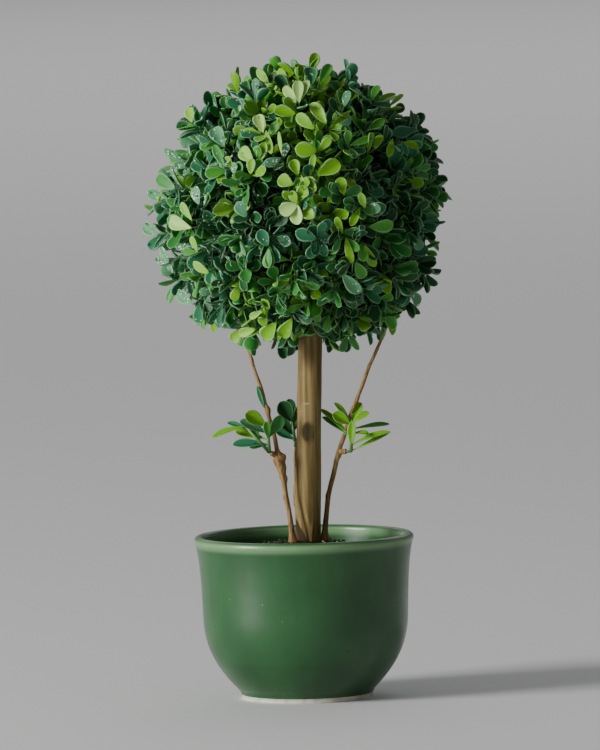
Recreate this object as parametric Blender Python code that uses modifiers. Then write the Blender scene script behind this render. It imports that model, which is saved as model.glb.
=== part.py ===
"""A small artificial topiary tree: a clipped ball of plastic leaves on a straight stick, three thin
twigs with a few leaves of their own, and the round glazed pot that they stand in.

Metres, +Z up. The origin is at the middle of the pot's underside, and -Y is the tree's front.
"""

import math

import bmesh
import bpy
import numpy as np
from mathutils import Matrix, Vector

# Pot, a turned cup: radii and heights of its outside, from the foot to the lip
POT_HEIGHT = 0.0733
FOOT_RADIUS = 0.0293
FOOT_HEIGHT = 0.0030
FOOT_WIDTH = 0.0045
FOOT_RECESS = 0.0016
GLAZE_STEP = 0.0003
BELLY_CONTROL = (0.0442, 0.0170)
SHOULDER_RADIUS = 0.0458
SHOULDER_HEIGHT = 0.0330
NECK_LEAN = 0.0010
NECK_FLARE_POWER = 4
RIM_RADIUS = 0.0491
LIP_BEAD_RADIUS = 0.0021
LIP_UNDERCUT = 40
WALL = 0.0036
FLOOR_HEIGHT = 0.0056
FLOOR_EASE = 0.0020
ROUND_STEPS = 36
BELLY_STEPS = 5
NECK_STEPS = 6
LIP_STEPS = 5

# Filling, a low mound of dark moss that holds the stick and the twigs
CLEARANCE = 0.0003
FILL_TOP = 0.0695
FILL_EDGE = 0.0640
FILL_FLAT_RADIUS = 0.0140
FILL_STEPS = 5

# Stick that carries the ball: it leans a little to +X, and its foot is whittled
TRUNK_FOOT = (0.0017, 0.0)
TRUNK_TOP = (0.0054, 0.0, 0.1752)
TRUNK_FOOT_RADIUS = 0.0039
TRUNK_LOW_RADIUS = 0.0057
TRUNK_TOP_RADIUS = 0.0052
TRUNK_WHITTLED = 0.0160
WHITTLE_EASE = 1.5
TRUNK_POINTS = 14
TRUNK_BEVEL = 4
END_LENGTH = 0.0010

# Twigs beside the stick. Each has the four control points of its curve, the number of points
# along it, and how far its knot stands out.
STEMS = {
    "left_stem": (((-0.0049, -0.0065), (-0.0075, -0.0062, 0.100), (-0.0145, -0.0056, 0.134),
                   (-0.0265, -0.0050, 0.1665)), 26, 0.0017),
    "right_stem": (((0.0092, 0.0030), (0.0105, 0.0020, 0.098), (0.0200, 0.0, 0.125),
                    (0.0435, -0.0020, 0.175)), 18, 0.0),
    "back_stem": (((-0.0018, 0.0090), (-0.0038, 0.0088, 0.088), (-0.0034, 0.0086, 0.100),
                   (-0.0028, 0.0086, 0.1120)), 10, 0.0),
}
STEM_FOOT_RADIUS = 0.00125
STEM_TIP_RADIUS = 0.00065
STEM_FLARE = 0.0011
STEM_FLARE_HEIGHT = 0.0030
STEM_BEVEL = 2
KNOT_HEIGHT = 0.1050
KNOT_SPREAD = 0.0048

# Ball of leaves: its middle, how far it reaches, and the smaller ball inside that carries the twigs
CROWN_CENTRE = Vector((0.0012, 0.0, 0.2222))
CROWN_SIDE_REACH = 0.0725
CROWN_TOP_REACH = 0.0700
CROWN_SAG = 0.045
CORE_RADIUS = 0.0465
CORE_DETAIL = 3
STUB_RADIUS = 0.0040
STUB_LENGTH = 0.0116
STUB_SIDES = 8

# Twigs of the ball: the golden angle spreads them evenly, and seeded draws move them a little.
# Each ends in one leaf, with crossed pairs below it that lean further out.
CROWN_SEED = 11
TWIG_COUNT = 82
TWIG_ROOT_RADIUS = 0.0011
TWIG_TIP_RADIUS = 0.0005
TWIG_SIDES = 3
TWIG_SUNK = 0.0040
TWIG_JITTER = 0.10
SHORTEST_TWIG = 0.87
LEAF_TILTS = (22, 46, 72)
PAIR_SPACING = 0.0035
LEAF_LEAN = 0.5
GOLDEN_ANGLE = math.pi * (3 - math.sqrt(5))

# Leaf blades: length, width and thickness, rings round the blade, how far past its middle it
# swells, and how deep its root is set into the twig
CROWN_LEAF = (0.0170, 0.0112, 0.0008)
CROWN_LEAF_RINGS = 2
SPRAY_LEAF = (0.0170, 0.0078, 0.0007)
SPRAY_LEAF_RINGS = 4
BLADE_SWELL = 0.72
LEAF_SEAT = 0.0001

# Sprays on the twigs. Headings are degrees as seen from the front, counted from +X towards +Z.
# Each has its twig, the height of its stalk's root, the stalk's heading and length, the shoot's
# heading and length, and the headings of the leaves from the shoot's root to its tip.
SPRAYS = {
    "left_spray": ("left_stem", 0.1085, 150, 0.0030, 136, 0.0150, (62, 173, 98, 158, 197, 118, 150)),
    "right_spray": ("right_stem", 0.1098, 2, 0.0046, 88, 0.0125, (20, 34, 12, 62, 124, 74, 148)),
    "back_spray": ("back_stem", 0.1120, 94, 0.0020, 98, 0.0090, (136, 40, 122, 60, 112, 78, 96)),
}
SPRAY_SEED = 132
SPRAY_LEAVES = 7
SPRAY_LENGTHS = (0.65, 1.15)
SPRAY_DEPTH = 0.36
SPRAY_TWIST = 70
SPRAY_FACING = -1.2
STALK_DEPTH = -0.60
STALK_STEP = 0.0001
SHOOT_RADIUS = 0.0007
SHOOT_TIP_RADIUS = 0.0005
SHOOT_SIDES = 6
FIRST_LEAF = 0.06
LAST_LEAF = 0.96

COLOURS = {
    "pot": ((0.13, 0.25, 0.13), 0.12),
    "fill": ((0.035, 0.030, 0.018), 0.95),
    "trunk": ((0.42, 0.32, 0.19), 0.75),
    "stem": ((0.36, 0.24, 0.13), 0.75),
    "leaf": ((0.10, 0.30, 0.09), 0.45),
}


def clear_scene():
    """Removes every object of the file, so that only the tree is left."""
    for item in list(bpy.data.objects):
        bpy.data.objects.remove(item, do_unlink=True)


def new_material(name):
    """A plain glossy or matt surface of one colour."""
    colour, roughness = COLOURS[name]
    material = bpy.data.materials.new(name)
    material.use_nodes = True
    shader = material.node_tree.nodes["Principled BSDF"]
    shader.inputs["Base Color"].default_value = (*colour, 1.0)
    shader.inputs["Roughness"].default_value = roughness
    shader.inputs["Metallic"].default_value = 0.0
    return material


def new_collection(name):
    """A collection of the scene with the given name."""
    collection = bpy.data.collections.new(name)
    bpy.context.scene.collection.children.link(collection)
    return collection


def new_object(name, data, collection, material=None):
    """An object at the origin that carries the given mesh or curve."""
    item = bpy.data.objects.new(name, data)
    collection.objects.link(item)
    if material:
        item.data.materials.append(material)
    return item


def shade_round(item):
    """Smooth shading that keeps the edges of more than 40 degrees sharp."""
    item.data.shade_smooth()
    item.data.set_sharp_from_angle(angle=math.radians(40))


def turned(name, profile, collection, material):
    """A turned solid: the profile of (radius, height) points carried once round the Z axis."""
    mesh = bpy.data.meshes.new(name)
    edges = [(i, i + 1) for i in range(len(profile) - 1)]
    mesh.from_pydata([(radius, 0.0, height) for radius, height in profile], edges, [])
    item = new_object(name, mesh, collection, material)
    screw = item.modifiers.new("turn", "SCREW")
    screw.steps = ROUND_STEPS
    screw.render_steps = ROUND_STEPS
    screw.use_merge_vertices = True
    screw.merge_threshold = 0.00001
    screw.use_smooth_shade = True
    return item


def belly(inset):
    """The pot's side from its foot to its shoulder, a quadratic curve, moved in by `inset`."""
    foot = Vector((FOOT_RADIUS + GLAZE_STEP, FOOT_HEIGHT))
    control = Vector(BELLY_CONTROL)
    shoulder = Vector((SHOULDER_RADIUS, SHOULDER_HEIGHT))
    points = []
    for step in range(BELLY_STEPS + 1):
        t = step / BELLY_STEPS
        point = foot * (1 - t) ** 2 + control * 2 * t * (1 - t) + shoulder * t ** 2
        slope = (control - foot) * (1 - t) + (shoulder - control) * t
        inward = Vector((-slope.y, slope.x)).normalized()
        points.append(point + inward * inset)
    return [(point.x, point.y) for point in points]


def neck(bead):
    """The pot's side above its shoulder: it leans out a little, and flares to meet the lip's round bead
    at the angle below level that the undercut gives."""
    undercut = math.radians(LIP_UNDERCUT)
    top_radius = bead[0] + LIP_BEAD_RADIUS * math.cos(undercut)
    top_height = bead[1] - LIP_BEAD_RADIUS * math.sin(undercut)
    flare = top_radius - SHOULDER_RADIUS - NECK_LEAN
    points = []
    for step in range(1, NECK_STEPS + 1):
        t = step / NECK_STEPS
        radius = SHOULDER_RADIUS + NECK_LEAN * t + flare * t ** NECK_FLARE_POWER
        points.append((radius, SHOULDER_HEIGHT + (top_height - SHOULDER_HEIGHT) * t))
    return points


def inner_wall(inset, top):
    """The pot's inside, from the floor's edge up to the given height, moved in by `inset`."""
    lowest = FLOOR_HEIGHT + FLOOR_EASE
    side = [(radius, height) for radius, height in belly(WALL + inset) if height > lowest]
    shoulder_radius, shoulder_height = side[-1]
    mouth_radius = RIM_RADIUS - 2 * LIP_BEAD_RADIUS - inset
    rise = (top - shoulder_height) / (POT_HEIGHT - LIP_BEAD_RADIUS - shoulder_height)
    wall_top = (shoulder_radius + (mouth_radius - shoulder_radius) * rise, top)
    return [(side[0][0] - FLOOR_EASE, FLOOR_HEIGHT + inset)] + side + [wall_top]


def pot_profile():
    """Floor, inner wall, rounded lip, outside, foot ring and recess, from the axis back to the axis."""
    bead = (RIM_RADIUS - LIP_BEAD_RADIUS, POT_HEIGHT - LIP_BEAD_RADIUS)
    lip = []
    for step in range(1, LIP_STEPS + 1):
        angle = math.pi * (1 - step / LIP_STEPS)
        radius = bead[0] + LIP_BEAD_RADIUS * math.cos(angle)
        lip.append((radius, bead[1] + LIP_BEAD_RADIUS * math.sin(angle)))
    foot = [(FOOT_RADIUS, FOOT_HEIGHT - GLAZE_STEP), (FOOT_RADIUS, 0.0)]
    recess_radius = FOOT_RADIUS - FOOT_WIDTH
    recess = [(recess_radius, 0.0), (recess_radius - FOOT_RECESS, FOOT_RECESS), (0.0, FOOT_RECESS)]
    outside = list(reversed(belly(0.0) + neck(bead)))
    return [(0.0, FLOOR_HEIGHT)] + inner_wall(0.0, bead[1]) + lip + outside + foot + recess


def fill_profile():
    """A mound that is flat in the middle and eases down to the wall, and fills the pot to its floor."""
    wall = list(reversed(inner_wall(CLEARANCE, FILL_EDGE)))
    edge_radius = wall[0][0]
    mound = [(0.0, FILL_TOP)]
    for step in range(FILL_STEPS):
        t = step / FILL_STEPS
        radius = FILL_FLAT_RADIUS + (edge_radius - FILL_FLAT_RADIUS) * t
        mound.append((radius, FILL_TOP + (FILL_EDGE - FILL_TOP) * (3 - 2 * t) * t * t))
    return mound + wall + [(0.0, FLOOR_HEIGHT + CLEARANCE)]


def limb(name, path, radii, collection, material, resolution):
    """A tapering limb: a bevelled curve through the path, made a mesh with its end caps welded on."""
    curve = bpy.data.curves.new(name, "CURVE")
    curve.dimensions = "3D"
    curve.bevel_depth = radii[0]
    curve.bevel_resolution = resolution
    curve.use_fill_caps = True
    spline = curve.splines.new("POLY")
    spline.points.add(len(path) - 1)
    for point, place, radius in zip(spline.points, path, radii):
        point.co = (*place, 1.0)
        point.radius = radius / radii[0]
    guide = new_object(name + "_curve", curve, collection)
    depsgraph = bpy.context.evaluated_depsgraph_get()
    mesh = bpy.data.meshes.new_from_object(guide.evaluated_get(depsgraph))
    weld = bmesh.new()
    weld.from_mesh(mesh)
    bmesh.ops.remove_doubles(weld, verts=weld.verts, dist=0.00001)
    bmesh.ops.recalc_face_normals(weld, faces=weld.faces)
    weld.to_mesh(mesh)
    weld.free()
    item = new_object(name, mesh, collection, material)
    item.matrix_world = guide.matrix_world
    bpy.data.objects.remove(guide, do_unlink=True)
    shade_round(item)
    return item


def bezier(controls, count):
    """Points along the cubic curve of four control points, even in its parameter."""
    points = []
    for step in range(count):
        t = step / (count - 1)
        weights = ((1 - t) ** 3, 3 * t * (1 - t) ** 2, 3 * t * t * (1 - t), t ** 3)
        points.append(sum((Vector(c) * w for c, w in zip(controls, weights)), Vector((0.0, 0.0, 0.0))))
    return points


def squared_ends(path):
    """The path with a short upright run at each end, so that both ends are cut level."""
    rise = Vector((0.0, 0.0, END_LENGTH))
    return [path[0], path[0] + rise] + path[1:-1] + [path[-1] - rise, path[-1]]


def trunk_shape():
    """Path and radii of the stick: straight and leaning, thickest above its whittled foot."""
    foot = Vector((*TRUNK_FOOT, FILL_TOP + CLEARANCE))
    top = Vector(TRUNK_TOP)
    path = squared_ends([foot.lerp(top, step / (TRUNK_POINTS - 1)) for step in range(TRUNK_POINTS)])
    radii = []
    for point in path:
        height = point.z - foot.z
        taper = height / (top.z - foot.z)
        radius = TRUNK_LOW_RADIUS + (TRUNK_TOP_RADIUS - TRUNK_LOW_RADIUS) * taper
        whittled = max(0.0, 1 - height / TRUNK_WHITTLED) ** WHITTLE_EASE
        radii.append(radius - (TRUNK_LOW_RADIUS - TRUNK_FOOT_RADIUS) * whittled)
    return path, radii


def stem_shape(controls, count, knot_size):
    """Path and radii of a twig: a flared foot, a steady taper and, on the left one, a knot."""
    foot = (*controls[0], FILL_TOP + CLEARANCE)
    path = squared_ends(bezier((foot, *controls[1:]), count))
    radii = []
    for point in path:
        height = point.z - path[0].z
        taper = height / (path[-1].z - path[0].z)
        flare = STEM_FLARE * math.exp(-(height / STEM_FLARE_HEIGHT) ** 2)
        knot = knot_size * math.exp(-((point.z - KNOT_HEIGHT) / KNOT_SPREAD) ** 2)
        radii.append(STEM_FOOT_RADIUS + (STEM_TIP_RADIUS - STEM_FOOT_RADIUS) * taper + flare + knot)
    return path, radii


def blade(size, rings):
    """A leaf blade along +Z from its root at the origin: a flat ball of four sides that swells past
    its middle and is drawn to a point at both ends. With 2 rings it has 8 faces."""
    length, width, thickness = size
    shape = bmesh.new()
    bmesh.ops.create_uvsphere(shape, u_segments=4, v_segments=rings, radius=1.0)
    for vert in shape.verts:
        along = (1 - math.acos(max(-1.0, min(1.0, vert.co.z))) / math.pi) ** BLADE_SWELL
        vert.co = (vert.co.x * width / 2, vert.co.y * thickness / 2, along * length)
    mesh = bpy.data.meshes.new("blade")
    shape.to_mesh(mesh)
    shape.free()
    return mesh


def rod(start, end, start_radius, end_radius, sides):
    """A straight tapering twig with flat ends."""
    shape = bmesh.new()
    axis = end - start
    turn = axis.to_track_quat("Z", "Y").to_matrix().to_4x4()
    place = Matrix.Translation((start + end) / 2) @ turn
    bmesh.ops.create_cone(shape, cap_ends=True, segments=sides, radius1=start_radius, radius2=end_radius,
                          depth=axis.length, matrix=place)
    mesh = bpy.data.meshes.new("rod")
    shape.to_mesh(mesh)
    shape.free()
    return mesh


def blade_place(root, along, facing):
    """The placing of a blade: its length lies along one direction, and its flat side is turned as
    nearly as it can be to another."""
    side = facing.cross(along).normalized()
    normal = along.cross(side)
    turn = Matrix((side, normal, along)).transposed().to_4x4()
    return Matrix.Translation(root) @ turn


def limb_segments(shapes):
    """Starts, runs, first radii and changes of radius of all the limbs' straight pieces, as arrays."""
    pieces = []
    for path, radii in shapes.values():
        for start, end, radius, next_radius in zip(path, path[1:], radii, radii[1:]):
            pieces.append((*start, *(end - start), radius, next_radius - radius))
    table = np.array(pieces)
    return table[:, :3], table[:, 3:6], table[:, 6], table[:, 7]


def blade_samples(place, size):
    """Points over a blade: along its middle and along both edges, which bow out between its ends."""
    length, width, _ = size
    samples = []
    for fraction in np.linspace(0.0, 1.0, 6):
        bow = width / 2 * math.sin(math.pi * fraction ** (1 / BLADE_SWELL))
        for side in (-bow, 0.0, bow):
            samples.append(place @ Vector((side, 0.0, length * fraction)))
    return samples


def clear_of_limbs(samples, margin, segments):
    """True where every sample point lies further than the margin from the side of every limb."""
    starts, runs, radii, changes = segments
    offset = np.array(samples)[:, None, :] - starts
    share = np.clip((offset * runs).sum(axis=2) / (runs * runs).sum(axis=1), 0.0, 1.0)
    gaps = np.linalg.norm(offset - runs * share[:, :, None], axis=2) - radii - changes * share
    return gaps.min() > margin


def fuse(base, growth):
    """Joins every object of the growth collection to the base by one Boolean union, keeps the one body
    that results, without sealed hollows or scraps, and removes what was joined."""
    union = base.modifiers.new("fuse", "BOOLEAN")
    union.operation = "UNION"
    union.operand_type = "COLLECTION"
    union.collection = growth
    union.solver = "MANIFOLD"
    depsgraph = bpy.context.evaluated_depsgraph_get()
    mesh = bpy.data.meshes.new_from_object(base.evaluated_get(depsgraph))
    base.modifiers.remove(union)
    base.data = mesh
    for item in list(growth.objects):
        bpy.data.objects.remove(item, do_unlink=True)
    bpy.data.collections.remove(growth)
    keep_largest_body(mesh)


def keep_largest_body(mesh):
    """Deletes every connected shell of the mesh but the one with the most faces."""
    shape = bmesh.new()
    shape.from_mesh(mesh)
    unseen = set(shape.faces)
    shells = []
    while unseen:
        front = [unseen.pop()]
        shell = set(front)
        while front:
            for edge in front.pop().edges:
                for face in edge.link_faces:
                    if face in unseen:
                        unseen.discard(face)
                        shell.add(face)
                        front.append(face)
        shells.append(shell)
    largest = max(shells, key=len)
    scraps = [face for shell in shells if shell is not largest for face in shell]
    bmesh.ops.delete(shape, geom=scraps, context="FACES")
    shape.to_mesh(mesh)
    shape.free()


def crown_reach(direction):
    """How far the ball goes out in a direction: an ellipsoid that is fuller below its middle."""
    level = math.hypot(direction.x, direction.y) / CROWN_SIDE_REACH
    rise = direction.z / CROWN_TOP_REACH
    slope = math.asin(max(-1.0, min(1.0, direction.z)))
    return (1 - CROWN_SAG * math.sin(2 * slope)) / math.hypot(level, rise)


def crown_twigs():
    """Direction, tip distance and turn of each twig of the ball: directions spread evenly by the
    golden angle, then moved a little by the seeded draws."""
    draws = np.random.default_rng(CROWN_SEED).uniform(-1.0, 1.0, (TWIG_COUNT, 5))
    twigs = []
    for index, draw in enumerate(draws):
        height = 1 - 2 * (index + 0.5) / TWIG_COUNT
        level = math.sqrt(1 - height * height)
        turn = index * GOLDEN_ANGLE
        even = Vector((level * math.cos(turn), level * math.sin(turn), height))
        direction = (even + Vector(draw[:3]) * TWIG_JITTER).normalized()
        share = SHORTEST_TWIG + (1 - SHORTEST_TWIG) * (draw[3] + 1) / 2
        twigs.append((direction, crown_reach(direction) * share, math.pi * draw[4]))
    return twigs


def twig_leaves(direction, tip_distance, turn):
    """Roots, directions and facings of one twig's leaves: one at its tip, and crossed pairs below."""
    side = direction.cross(Vector((0.0, 0.0, 1.0))).normalized()
    across = direction.cross(side)
    node = tip_distance - CROWN_LEAF[0] * math.cos(math.radians(LEAF_TILTS[0]))
    leaves = []
    for rank, tilt in enumerate(LEAF_TILTS):
        root = CROWN_CENTRE + direction * (node - PAIR_SPACING * rank)
        for half in range(1 if rank == 0 else 2):
            angle = turn + math.pi * half + math.pi / 2 * rank
            outward = side * math.cos(angle) + across * math.sin(angle)
            tilted = math.radians(tilt)
            along = direction * math.cos(tilted) + outward * math.sin(tilted)
            leaves.append((root + outward * LEAF_SEAT, along, direction - outward * LEAF_LEAN))
    return node, leaves


def crown_core(collection, material):
    """The solid ball in the middle of the leaves."""
    shape = bmesh.new()
    bmesh.ops.create_icosphere(shape, subdivisions=CORE_DETAIL, radius=CORE_RADIUS,
                               matrix=Matrix.Translation(CROWN_CENTRE))
    mesh = bpy.data.meshes.new("crown")
    shape.to_mesh(mesh)
    shape.free()
    return new_object("crown", mesh, collection, material)


def build_crown(collection, segments, material):
    """The ball of leaves: its core and the stub below it, fused with the twigs and their leaves. A
    twig or leaf that would touch a limb is left out."""
    crown = crown_core(collection, material)
    growth = new_collection("crown_growth")
    stub_foot = Vector(TRUNK_TOP) + Vector((0.0, 0.0, CLEARANCE))
    stub_top = stub_foot + Vector((0.0, 0.0, STUB_LENGTH))
    new_object("stub", rod(stub_foot, stub_top, STUB_RADIUS, STUB_RADIUS, STUB_SIDES), growth)
    leaf = blade(CROWN_LEAF, CROWN_LEAF_RINGS)
    margin = CLEARANCE + CROWN_LEAF[2]
    for direction, tip_distance, turn in crown_twigs():
        node, leaves = twig_leaves(direction, tip_distance, turn)
        root = CROWN_CENTRE + direction * (CORE_RADIUS - TWIG_SUNK)
        tip = CROWN_CENTRE + direction * (node + TWIG_ROOT_RADIUS)
        samples = [root.lerp(tip, share) for share in np.linspace(0.0, 1.0, 5)]
        if clear_of_limbs(samples, CLEARANCE + TWIG_ROOT_RADIUS, segments):
            new_object("twig", rod(root, tip, TWIG_ROOT_RADIUS, TWIG_TIP_RADIUS, TWIG_SIDES), growth)
            for leaf_root, along, facing in leaves:
                place = blade_place(leaf_root, along, facing)
                if clear_of_limbs(blade_samples(place, CROWN_LEAF), margin, segments):
                    new_object("leaf", leaf, growth).matrix_world = place
    fuse(crown, growth)


def heading_vector(heading, depth):
    """A unit vector at an angle as seen from the front, leaning away from it by `depth`."""
    angle = math.radians(heading)
    return Vector((math.cos(angle), depth, math.sin(angle))).normalized()


def stalk_root(path, height, direction, segments):
    """Where a stalk starts: from the middle of its limb at the given height, along the stalk's
    direction, the first place where the stalk's end is clear of every limb."""
    start, end = next(pair for pair in zip(path, path[1:]) if pair[1].z >= height)
    root = start.lerp(end, (height - start.z) / (end.z - start.z))
    side = direction.orthogonal().normalized() * SHOOT_RADIUS
    spokes = [Matrix.Rotation(math.tau * step / SHOOT_SIDES, 3, direction) @ side
              for step in range(SHOOT_SIDES)]
    while not clear_of_limbs([root + spoke for spoke in spokes], CLEARANCE, segments):
        root = root + direction * STALK_STEP
    return root


def build_spray(name, lengths, collection, shapes, segments, material):
    """A few leaves on a stalk and its shoot: they leave the shoot one after another, in turn to the
    front and to the back, at the given headings and lengths."""
    stem, height, stalk_heading, stalk_length, shoot_heading, shoot_length, headings = SPRAYS[name]
    stalk = heading_vector(stalk_heading, STALK_DEPTH)
    shoot = heading_vector(shoot_heading, 0.0)
    root = stalk_root(shapes[stem][0], height, stalk, segments)
    node = root + stalk * stalk_length
    tip = node + shoot * shoot_length
    stalk_mesh = rod(root, node + stalk * SHOOT_RADIUS, SHOOT_RADIUS, SHOOT_RADIUS, SHOOT_SIDES)
    spray = new_object(name, stalk_mesh, collection, material)
    growth = new_collection(name + "_growth")
    new_object("shoot", rod(node, tip, SHOOT_RADIUS, SHOOT_TIP_RADIUS, SHOOT_SIDES), growth)
    shares = np.linspace(FIRST_LEAF, LAST_LEAF, SPRAY_LEAVES)
    for rank, (heading, length, share) in enumerate(zip(headings, lengths, shares)):
        along = heading_vector(heading, SPRAY_DEPTH * (1 if rank % 2 else -1))
        facing = heading_vector(heading + SPRAY_TWIST, SPRAY_FACING)
        size = [value * length for value in SPRAY_LEAF]
        place = blade_place(node.lerp(tip, share) - along * LEAF_SEAT, along, facing)
        if clear_of_limbs(blade_samples(place, size), CLEARANCE + size[2], segments):
            new_object("leaf", blade(size, SPRAY_LEAF_RINGS), growth).matrix_world = place
    fuse(spray, growth)


def build_tree():
    """Makes every piece of the tree, each its own object in the tree's collection."""
    clear_scene()
    collection = new_collection("topiary_tree")
    turned("pot", pot_profile(), collection, new_material("pot"))
    turned("fill", fill_profile(), collection, new_material("fill"))
    shapes = {name: stem_shape(*stem) for name, stem in STEMS.items()}
    stem_material = new_material("stem")
    for name, (path, radii) in shapes.items():
        limb(name, path, radii, collection, stem_material, STEM_BEVEL)
    shapes["trunk"] = trunk_shape()
    limb("trunk", *shapes["trunk"], collection, new_material("trunk"), TRUNK_BEVEL)
    segments = limb_segments(shapes)
    leaf_material = new_material("leaf")
    build_crown(collection, segments, leaf_material)
    lengths = np.random.default_rng(SPRAY_SEED).uniform(*SPRAY_LENGTHS, (len(SPRAYS), SPRAY_LEAVES))
    for name, spray_lengths in zip(SPRAYS, lengths):
        build_spray(name, spray_lengths, collection, shapes, segments, leaf_material)


build_tree()
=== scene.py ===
# %% [markdown]
# # A small topiary tree in a glazed cup
# The real thing is a table ornament: a clipped ball of moulded plastic leaves on a straight natural
# stick, three thin natural twigs with a few plastic leaves of their own, and a green glazed cup.
# Its solids are already built and packed. This lesson dresses them: every piece is worked out with
# numpy as a surface on a grid, put where the solids are, and given its finish.

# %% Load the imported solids
import math

import bpy
import numpy as np
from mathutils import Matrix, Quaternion, Vector


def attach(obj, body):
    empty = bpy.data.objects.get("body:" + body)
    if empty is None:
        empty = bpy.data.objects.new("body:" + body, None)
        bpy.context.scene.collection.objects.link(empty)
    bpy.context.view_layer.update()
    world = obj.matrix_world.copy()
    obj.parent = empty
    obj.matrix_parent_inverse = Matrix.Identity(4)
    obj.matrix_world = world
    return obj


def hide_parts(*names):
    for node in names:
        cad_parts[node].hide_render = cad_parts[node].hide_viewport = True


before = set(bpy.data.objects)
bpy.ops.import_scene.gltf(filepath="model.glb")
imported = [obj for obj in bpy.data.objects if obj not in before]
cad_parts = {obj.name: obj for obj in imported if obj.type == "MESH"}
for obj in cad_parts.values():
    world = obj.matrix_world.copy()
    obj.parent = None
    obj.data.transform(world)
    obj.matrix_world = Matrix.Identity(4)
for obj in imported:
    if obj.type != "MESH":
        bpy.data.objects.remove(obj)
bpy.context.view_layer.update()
print("solids:", ", ".join(sorted(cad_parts)))

# %% [markdown]
# ## From arrays to a mesh
# A surface arrives as an array of points and a few arrays of faces. It could be built vertex by
# vertex, which is slow for this tree's six hundred thousand points. Handing the whole arrays to the
# mesh at once takes a moment, so every piece goes through one function. Most surfaces here are closed
# tubes: rings of points with a pole at each end.


# %% Put arrays into a mesh
def put_mesh(name, points, faces, finishes, finish_of_face=None):
    """Makes a piece from an (n, 3) array of points and a list of arrays of faces, each array with
    three or four corners a face. A face's finish is its number in the list of finishes."""
    mesh = bpy.data.meshes.new(name)
    corners = np.concatenate([block.ravel() for block in faces]).astype(np.int32)
    sizes = np.concatenate([np.full(len(block), block.shape[1]) for block in faces])
    mesh.vertices.add(len(points))
    mesh.vertices.foreach_set("co", np.ascontiguousarray(points, np.float32).ravel())
    mesh.loops.add(len(corners))
    mesh.loops.foreach_set("vertex_index", corners)
    mesh.polygons.add(len(sizes))
    mesh.polygons.foreach_set("loop_start", (np.cumsum(sizes) - sizes).astype(np.int32))
    mesh.polygons.foreach_set("use_smooth", np.ones(len(sizes), bool))
    for finish in finishes:
        mesh.materials.append(finish)
    if finish_of_face is not None:
        mesh.polygons.foreach_set("material_index", finish_of_face.astype(np.int32))
    mesh.update(calc_edges=True)
    mesh.validate()
    piece = bpy.data.objects.new(name, mesh)
    bpy.context.scene.collection.objects.link(piece)
    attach(piece, "root")
    print(f"{name}: {len(points)} points, {int((sizes - 2).sum())} triangles")
    return piece


# %% Closed tubes
def full_turn(steps):
    """Angles in equal steps once round."""
    return np.linspace(0, 2 * math.pi, steps, endpoint=False)


def polar(radius, angle, height):
    """Points at a distance and an angle round the upright axis, and at a height."""
    return np.stack(np.broadcast_arrays(radius * np.cos(angle), radius * np.sin(angle), height), axis=-1)


def tube_faces(rings, steps):
    """Quads and triangles of a closed tube whose points are its rings and then its low and its top
    pole. Point j of ring i joins its neighbour j + 1 and the two points above them."""
    low, step = np.meshgrid(np.arange(rings - 1) * steps, np.arange(steps), indexing="ij")
    ahead = (step + 1) % steps
    walls = np.stack([low + step, low + ahead, low + steps + ahead, low + steps + step], axis=-1)
    step, ahead = step[0], ahead[0]
    pole, top = np.full(steps, rings * steps), (rings - 1) * steps
    caps = [np.stack([pole, ahead, step], axis=-1), np.stack([pole + 1, top + step, top + ahead], axis=-1)]
    return [walls.reshape(-1, 4), np.concatenate(caps)]


def close_rings(rings):
    """Closes a tube of rings, an array (rings, steps, 3), with a pole in the middle of each end ring.
    Returns its points and faces, which all point outwards when the rings run upwards and their points
    turn to the left."""
    points = np.concatenate([rings.reshape(-1, 3), rings[:1].mean(axis=1), rings[-1:].mean(axis=1)])
    return points, tube_faces(*rings.shape[:2])


def repeated(block, faces):
    """Points and faces of many like shapes. `block` is an array (shapes, points, 3), and the faces of
    each shape count on from where the points of the one before end."""
    start = (np.arange(len(block)) * block.shape[1])[:, None, None]
    return block.reshape(-1, 3), [(kind + start).reshape(-1, kind.shape[1]) for kind in faces]


# %% [markdown]
# ## Shader sums as plain Python
# A finish is a small sum: how much of one colour shows, where it is rough, how high its relief
# stands. Nodes can be added one at a time with long names. Here a socket is wrapped in a class that
# knows plus, minus and times, so a sum on it reads as a sum and adds its own nodes.


# %% A socket that does arithmetic
class Wire:
    """A socket of a shader. Wires and numbers add, subtract and multiply."""

    def __init__(self, tree, socket=None):
        self.tree = tree
        self.socket = socket

    def add(self, kind, settings=(), inputs=(), output=0):
        """Adds a node: first its settings, then the value or the link of each named input."""
        node = self.tree.nodes.new(kind)
        for name, value in dict(settings).items():
            setattr(node, name, value)
        for name, value in dict(inputs).items():
            if isinstance(value, Wire):
                self.tree.links.new(value.socket, node.inputs[name])
            else:
                node.inputs[name].default_value = value
        return Wire(self.tree, node.outputs[output])

    def math(self, operation, first, second=0.0):
        """The result of a Math node."""
        return self.add("ShaderNodeMath", {"operation": operation}, {0: first, 1: second})

    def __add__(self, other):
        return self.math("ADD", self, other)

    def __sub__(self, other):
        return self.math("SUBTRACT", self, other)

    def __rsub__(self, other):
        return self.math("SUBTRACT", other, self)

    def __mul__(self, other):
        return self.math("MULTIPLY", self, other)

    __radd__ = __add__
    __rmul__ = __mul__

    def eased(self, low, high):
        """0 below `low`, 1 above `high`, and a smooth step between them."""
        return self.add("ShaderNodeMapRange", {"interpolation_type": "SMOOTHSTEP"},
                        {"Value": self, "From Min": low, "From Max": high})

    def blend(self, first, second):
        """The first colour where this wire is 0, the second where it is 1."""
        first, second = (side if isinstance(side, Wire) else (*side, 1.0) for side in (first, second))
        return self.add("ShaderNodeMix", {"data_type": "RGBA"}, {0: self, 6: first, 7: second}, output=2)


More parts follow.
